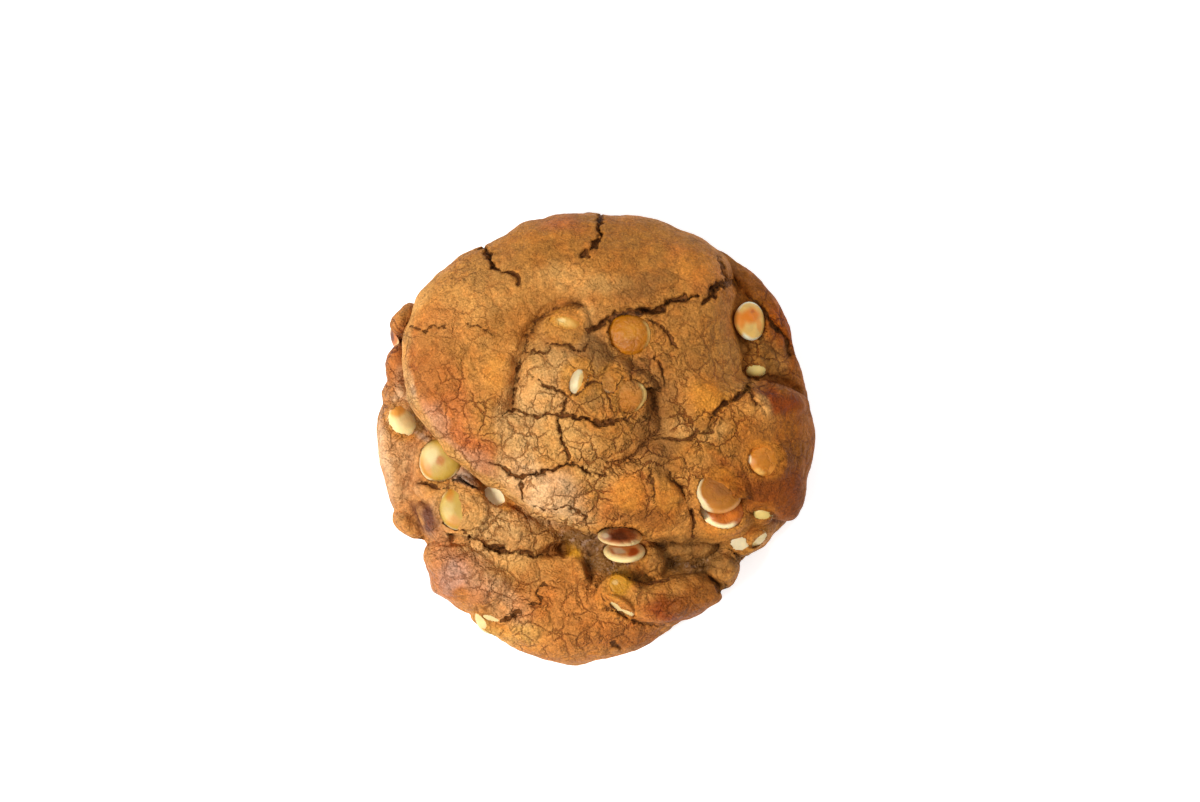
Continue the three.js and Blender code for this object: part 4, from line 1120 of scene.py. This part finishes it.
# The lower body: at each place the highest of its lobes, with the creases between them rounded over, less the
# valleys and hollows.
def lowerSurface(n, ringCount):
    centre = lower["centre"]
    t, angle = discGrid(n)
    radius = unionRadius(lowerLobes, centre, angle)
    x, y, share = spreadGrid(t, angle, radius, centre, lower["drop"], lower["fullness"])
    z = lobeHeight(base, x, y)
    for lobe in lowerLobes[1:]:
        z = smoothMax(z, lobeHeight(lobe, x, y), 1.6)
    z = carveValleys(z, x, y, valleys[-lower["valleys"]:])
    for at, size, turn, much, deep in paintedShadeSpots:
        z = z - deep * softEllipse(x, y, 0.4, 1.2, at, size, turn)
    z = np.maximum(z, lower["lowest"])
    return closeBelow(x, y, z, centre, base["keel"], base["foot"], n, ringCount)


splitForm = {
    "reach": 3,             # how far from its line a split acts
    "stray": [(1.8, 0.6, 31), (0.8, 0.45, 35)],     # how the lines wander: spacing, amount and seed
    "lip": (0.28, 0.9, 0.7),    # the raised dough beside it: height, distance and width
}


# Every split: how deep each point sinks (or rises, on its lips), and the distance to the nearest split with
# that split's half width there. The line wanders, its width changes along it, and it closes towards its ends.
def splitFields(points):
    moved = points
    for spacing, amount, seed in splitForm["stray"]:
        moved = moved + wander(points, spacing, amount, seed)
    x, y = moved[:, 0], moved[:, 1]
    height, away, wide = splitForm["lip"]
    swelling = np.clip(1 + 0.7 * softNoise(points, 2.2, 38) + 0.9 * softNoise(points, 1, 39), 0.15, 1.7)
    sunk = np.zeros(len(x))
    lip = np.zeros(len(x))
    side = np.full(len(x), float(splitForm["reach"]))
    half = np.zeros(len(x))
    for path, width, depth in splits:
        distance, along = pathField(x, y, path, splitForm["reach"])
        fade = np.sqrt(np.clip(np.sin(math.pi * np.clip(along, 0.015, 0.985)), 0, 1))
        openness = 0.3 + 0.7 * fade
        opened = width / 2 * openness * swelling
        inside = 1 - smoothStep(0.1, 1.25, distance / (opened + 0.25))
        sunk = np.maximum(sunk, depth * openness * inside)
        raised = height * min(1, width) * fade * np.exp(-((distance - opened - away) / wide) ** 2)
        lip = np.maximum(lip, raised * (distance < 2.9))
        nearer = distance < side
        side = np.where(nearer, distance, side)
        half = np.where(nearer, opened * (1 - smoothStep(1.6, 2.6, distance)), half)
    return sunk - lip * (sunk < 0.02), side, half


# Where the skin has broken into small plates: place, half sizes and how strongly.
brokenSkin = [
    ((-6, 6), (22, 18), 0.55), ((8, -12), (24, 12), 0.6), ((24, 12), (18, 16), 0.45),
    ((27, -6), (13, 14), 0.5), ((-33, 2), (9, 16), 0.5), ((-30, -33), (12, 9), 0.2),
    ((5.6, -35.2), (4, 4), -1), ((38, -3.4), (4, 3.6), -1), ((-6, -42), (26, 12), 0.5),
    ((-47, 12), (6, 22), 0.6), ((43, 22), (9, 20), 0.5), ((-20, -22), (16, 7), 0.4),
]


# How strongly the skin has broken into small plates here, from 0 to 1.
def crackleField(points):
    x, y = points[:, 0], points[:, 1]
    strength = 0.3 + 0.35 * softNoise(points, 13, 5)
    for at, size, much in brokenSkin:
        strength = strength + much * softEllipse(x, y, 0.6, 1.2, at, size)
    strength = np.clip(strength, 0, 1)
    for at, size, turn, swell, smooth in coveredChips:
        strength = strength * (1 - smooth * softEllipse(x, y, 0.6, 1.05, at, size, turn))
    return strength


# The dough's colour: golden, moved towards each patch's tone inside its ellipse, glowing over covered chips
# and browned where the dough stands up.
def bakedTint(points, raised):
    moved = points + wander(points, 7, 2.2, 61) + wander(points, 2.4, 0.9, 64)
    x, y = moved[:, 0], moved[:, 1]
    tint = np.tile(tones["golden"], (len(x), 1))
    for at, size, turn, tone, strength in patches:
        weight = strength * softEllipse(x, y, 0.4, 1.25, at, size, turn)
        tint = blend(tint, tones[tone], weight)
    for at, size, turn, swell, smooth in coveredChips:
        weight = 0.42 * swell * smooth * softEllipse(*points.T[:2], 0.5, 1.15, at, size, turn)
        tint = blend(tint, tones["glow"], weight)
    browned = np.clip(0.4 * raised + 0.2 * softNoise(points, 5, 67), 0, 1)[:, None]
    return tint * warmth * (1 + (browning - 1) * browned)


# Where underbaked dough shows deep between the lobes: place, half sizes, turn and the height it stays below.
gooPools = [
    ((-3, -24.3), (7, 2.2), -10, 18), ((3, -29), (6, 4), 0, 17), ((20, -28), (12, 4), -10, 14.5),
    ((-43, 4), (2, 4), 20, 15),
]

# Where the dough is torn and crumbly: place and half sizes.
crumbles = [
    ((22, -28), (17, 5)), ((-4, -26), (8, 5)), ((12, -27), (5, 6)), ((-42, -11), (6, 3)), ((40, 22), (6, 9)),
    ((-25, -26), (12, 3)), ((-47, 8), (4, 6)), ((34, 36), (4, 5)),
]


# Makes a piece of dough: its plain surface gets soft lumps, crumbs, splits and room for the chips, and then
# its colours.
def doughPiece(name, dough, surface):
    points, quads, fans = surface
    normals = vertexNormals(points, quads)
    skinned = smoothStep(0.4, 3, points[:, 2])
    crackle = crackleField(points)
    raised = 0.5 * softNoise(points, 9, 81) + 0.4 * softNoise(points, 4.2, 82)
    torn = 0.25 + np.max([softEllipse(*points.T[:2], 0.5, 1.2, at, size) for at, size in crumbles], 0)
    relief = 0.6 * raised + torn * (0.42 * softNoise(points, 1.9, 83) + 0.3 * softNoise(points, 1.0, 84))
    sunk, side, half = splitFields(points)
    points = points + normals * (relief * skinned)[:, None]
    points = points - normals * [0.2, 0.2, 1] * (sunk * skinned)[:, None]
    points, paintedShade, glow = fitChips(points, dough)
    points[:, 2] = np.maximum(points[:, 2], 0)
    x, y, z = points.T
    goo = np.zeros(len(x))
    for at, size, turn, top in gooPools:
        low = 1 - smoothStep(top - 2, top + 1, z)
        goo = np.maximum(goo, low * softEllipse(x, y, 0.6, 1.3, at, size, turn))
    gloss = np.zeros(len(x))
    for at, size, turn, much in shiny:
        gloss = np.maximum(gloss, much * softEllipse(x, y, 0.5, 1.2, at, size, turn))
    tint = bakedTint(points, raised)
    if dough == "crust":
        # Painted light: the rounded lip towards the west, which faces the key light, is tinted paler than the
        # browned skin behind it.
        start, full, fading, end = crust["litLip"]
        share, radius = outlineShare(crust, x, y)
        bearing = np.degrees(np.arctan2(y - crust["centre"][1], x - crust["centre"][0])) % 360
        lip = smoothStep(start, full, bearing) * (1 - smoothStep(fading, end, bearing))
        lip = 0.7 * lip * (1 - smoothStep(0.8, 2.6, (1 - share) * radius + 0.8 * softNoise(points, 3, 77)))
        tint = blend(tint, tones["tan"] * warmth, lip)
    tint = blend(tint, tones["glow"] * warmth, glow)
    # Painted shade along the valleys: a narrow dark line on each path, and a wider, fainter band outside the
    # mound only.
    outside = smoothStep(0.96, 1.03, outlineShare(mound, x, y)[0])
    for path, width, depth, much in valleys:
        near = pathField(x, y, path, 2.5 * width)[0]
        paintedShade = np.maximum(paintedShade, 1.2 * much * np.exp(-((near / 0.6) ** 2)))
        paintedShade = np.maximum(paintedShade, 0.25 * much * outside * np.exp(-((near / width) ** 2)))
    if dough == "lower":
        # Painted shade on the lower dough along the crust's edge, where the crust overhangs it.
        share, radius = outlineShare(crust, x, y)
        paintedShade = np.maximum(paintedShade, 0.6 * (1 - smoothStep(0.2, 2.2, (share - 1) * radius)))
        # Painted shade in the listed hollows, and less of the other painted shade where a spot's amount is
        # below 0.
        for at, size, turn, much, deep in paintedShadeSpots:
            weight = much * softEllipse(x, y, 0.5, 1.2, at, size, turn)
            paintedShade = np.where(weight < 0, paintedShade * (1 + weight), np.maximum(paintedShade, weight))
    values = {"side": side, "half": half, "crackle": crackle, "goo": goo, "paintedShade": paintedShade, "gloss": gloss}
    piece = makePiece(name, points, quads, fans, values, tint, doughMaterial)
    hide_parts("dough")
    print("made", name)


doughGrid = {"n": 290, "ringCount": 8}
doughPiece("doughCrust", "crust", crustSurface(**doughGrid))
doughPiece("doughLower", "lower", lowerSurface(**doughGrid))


# Makes a chip: its tone, moved towards that of each mark and each part of its rim. The rims and the pale,
# cream, peach and glow marks also rub off its skin.
def chipPiece(name, seed):
    chip, shape = chips[name], chipShapes[name]
    points, out = shape["points"], shape["out"]
    moved = points + wander(points, 1.4, 0.35, 92)
    x, y = moved[:, 0], moved[:, 1]
    tint = chipTones[chip["tone"]] * (1 + 0.1 * softNoise(points, 2, 95 + seed))[:, None]
    skinned = np.full(len(points), float(chip["skin"]))
    for at, size, turn, tone, strength in chip["marks"]:
        weight = strength * softEllipse(x, y, 0.5, 1.15, at, size, turn)
        tint = blend(tint, chipTones[tone], weight)
        if tone in ("pale", "cream", "peach", "glow"):
            skinned = skinned * (1 - weight)
    bearing = np.degrees(np.arctan2(points[:, 1] - shape["middle"][1], points[:, 0] - shape["middle"][0]))
    for start, stop, tone, inner in chip["rims"]:
        turned = (bearing - start) % 360
        width = (stop - start) % 360
        within = smoothStep(0, 22, turned) * (1 - smoothStep(width - 22, width, turned))
        weight = within * smoothStep(inner, inner + 0.1, out + 0.03 * softNoise(points, 1.4, 97))
        # A rim is tinted by its tone without the chip's warmth, so it comes out lighter: the bare chocolate's
        # own colour, lifted by painted light.
        tint = blend(tint, chipTones[tone] / chipWarmth, weight)
        skinned = skinned * (1 - weight)
    piece = makePiece(name.replace("_", "-") + "-fine", points, shape["quads"], shape["fans"],
                      {"skinned": skinned}, np.minimum(tint * chipWarmth * chip["bright"], 1), chipMaterial)
    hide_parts(name)


for number, name in enumerate(chips):
    chipPiece(name, number)
print("made", len(chips), "chips")


# The photograph's scale, size and the cookie's middle in it are in pixels; heights and lengths are in metres.
studio = {
    "pixelsPerMm": 4.2,
    "imageSize": (1200, 802),
    "cookieMiddle": (595, 437.5),
    "cameraHeight": 1.6,
    "aimHeight": 0.018,
    "sensor": 36,           # millimetres
    "floorHalf": 1.5,
    "floorLook": {"Base Color": (0.82, 0.82, 0.82, 1), "Roughness": 0.9, "Specular IOR Level": 0.1,
                  "Emission Color": (1, 1, 1, 1), "Emission Strength": 0.66},
    "sky": {"Color": (1, 1, 1, 1), "Strength": 0.34},
    "lights": {             # bearing, elevation, distance, size, power and colour
        "keyLight": (203, 50, 1.2, 0.5, 15, (1.0, 0.96, 0.9)),
        "fillLight": (60, 60, 1.4, 1.2, 5, (0.95, 0.97, 1.0)),
    },
}


# A pale floor that shines a little by itself, so that it shows as white.
def buildFloor():
    floor = bpy.data.objects.new("floor", bpy.data.meshes.new("floor"))
    half = studio["floorHalf"]
    corners = [(-half, -half, 0), (half, -half, 0), (half, half, 0), (-half, half, 0)]
    floor.data.from_pydata(corners, [], [(0, 1, 2, 3)])
    material, tree, shader = newMaterial("paleFloor")
    setInputs(shader, studio["floorLook"])
    floor.data.materials.append(material)
    bpy.context.collection.objects.link(floor)


# A round light that shines on the origin from this bearing and elevation in degrees.
def addAreaLight(name, towards, elevation, distance, size, power, colour):
    light = bpy.data.lights.new(name, "AREA")
    light.shape = "DISK"
    light.size = size
    light.energy = power
    light.color = colour
    lamp = bpy.data.objects.new(name, light)
    turn, up = math.radians(towards), math.radians(elevation)
    lamp.location = (distance * math.cos(up) * math.cos(turn), distance * math.cos(up) * math.sin(turn),
                     distance * math.sin(up))
    lamp.rotation_euler = (math.pi / 2 - up, 0, turn + math.pi / 2)
    bpy.context.collection.objects.link(lamp)


# Looks straight down, with the lens that gives the photograph's scale at the height aimed at.
def buildCamera():
    camera = bpy.data.cameras.new("camera")
    camera.sensor_width = studio["sensor"]
    wide = studio["imageSize"][0] / studio["pixelsPerMm"] * metresPerMm
    camera.lens = studio["sensor"] * (studio["cameraHeight"] - studio["aimHeight"]) / wide
    holder = bpy.data.objects.new("camera", camera)
    centreX, centreY = (side / 2 for side in studio["imageSize"])
    toX = (centreX - studio["cookieMiddle"][0]) / studio["pixelsPerMm"] * metresPerMm
    toY = (studio["cookieMiddle"][1] - centreY) / studio["pixelsPerMm"] * metresPerMm
    holder.location = (toX, toY, studio["cameraHeight"])
    bpy.context.collection.objects.link(holder)
    bpy.context.scene.camera = holder


buildFloor()
for name, settings in studio["lights"].items():
    addAreaLight(name, *settings)
buildCamera()
world = bpy.data.worlds.new("studio")
world.use_nodes = True
setInputs(world.node_tree.nodes["Background"], studio["sky"])
bpy.context.scene.world = world
bpy.context.scene.view_settings.view_transform = "Standard"
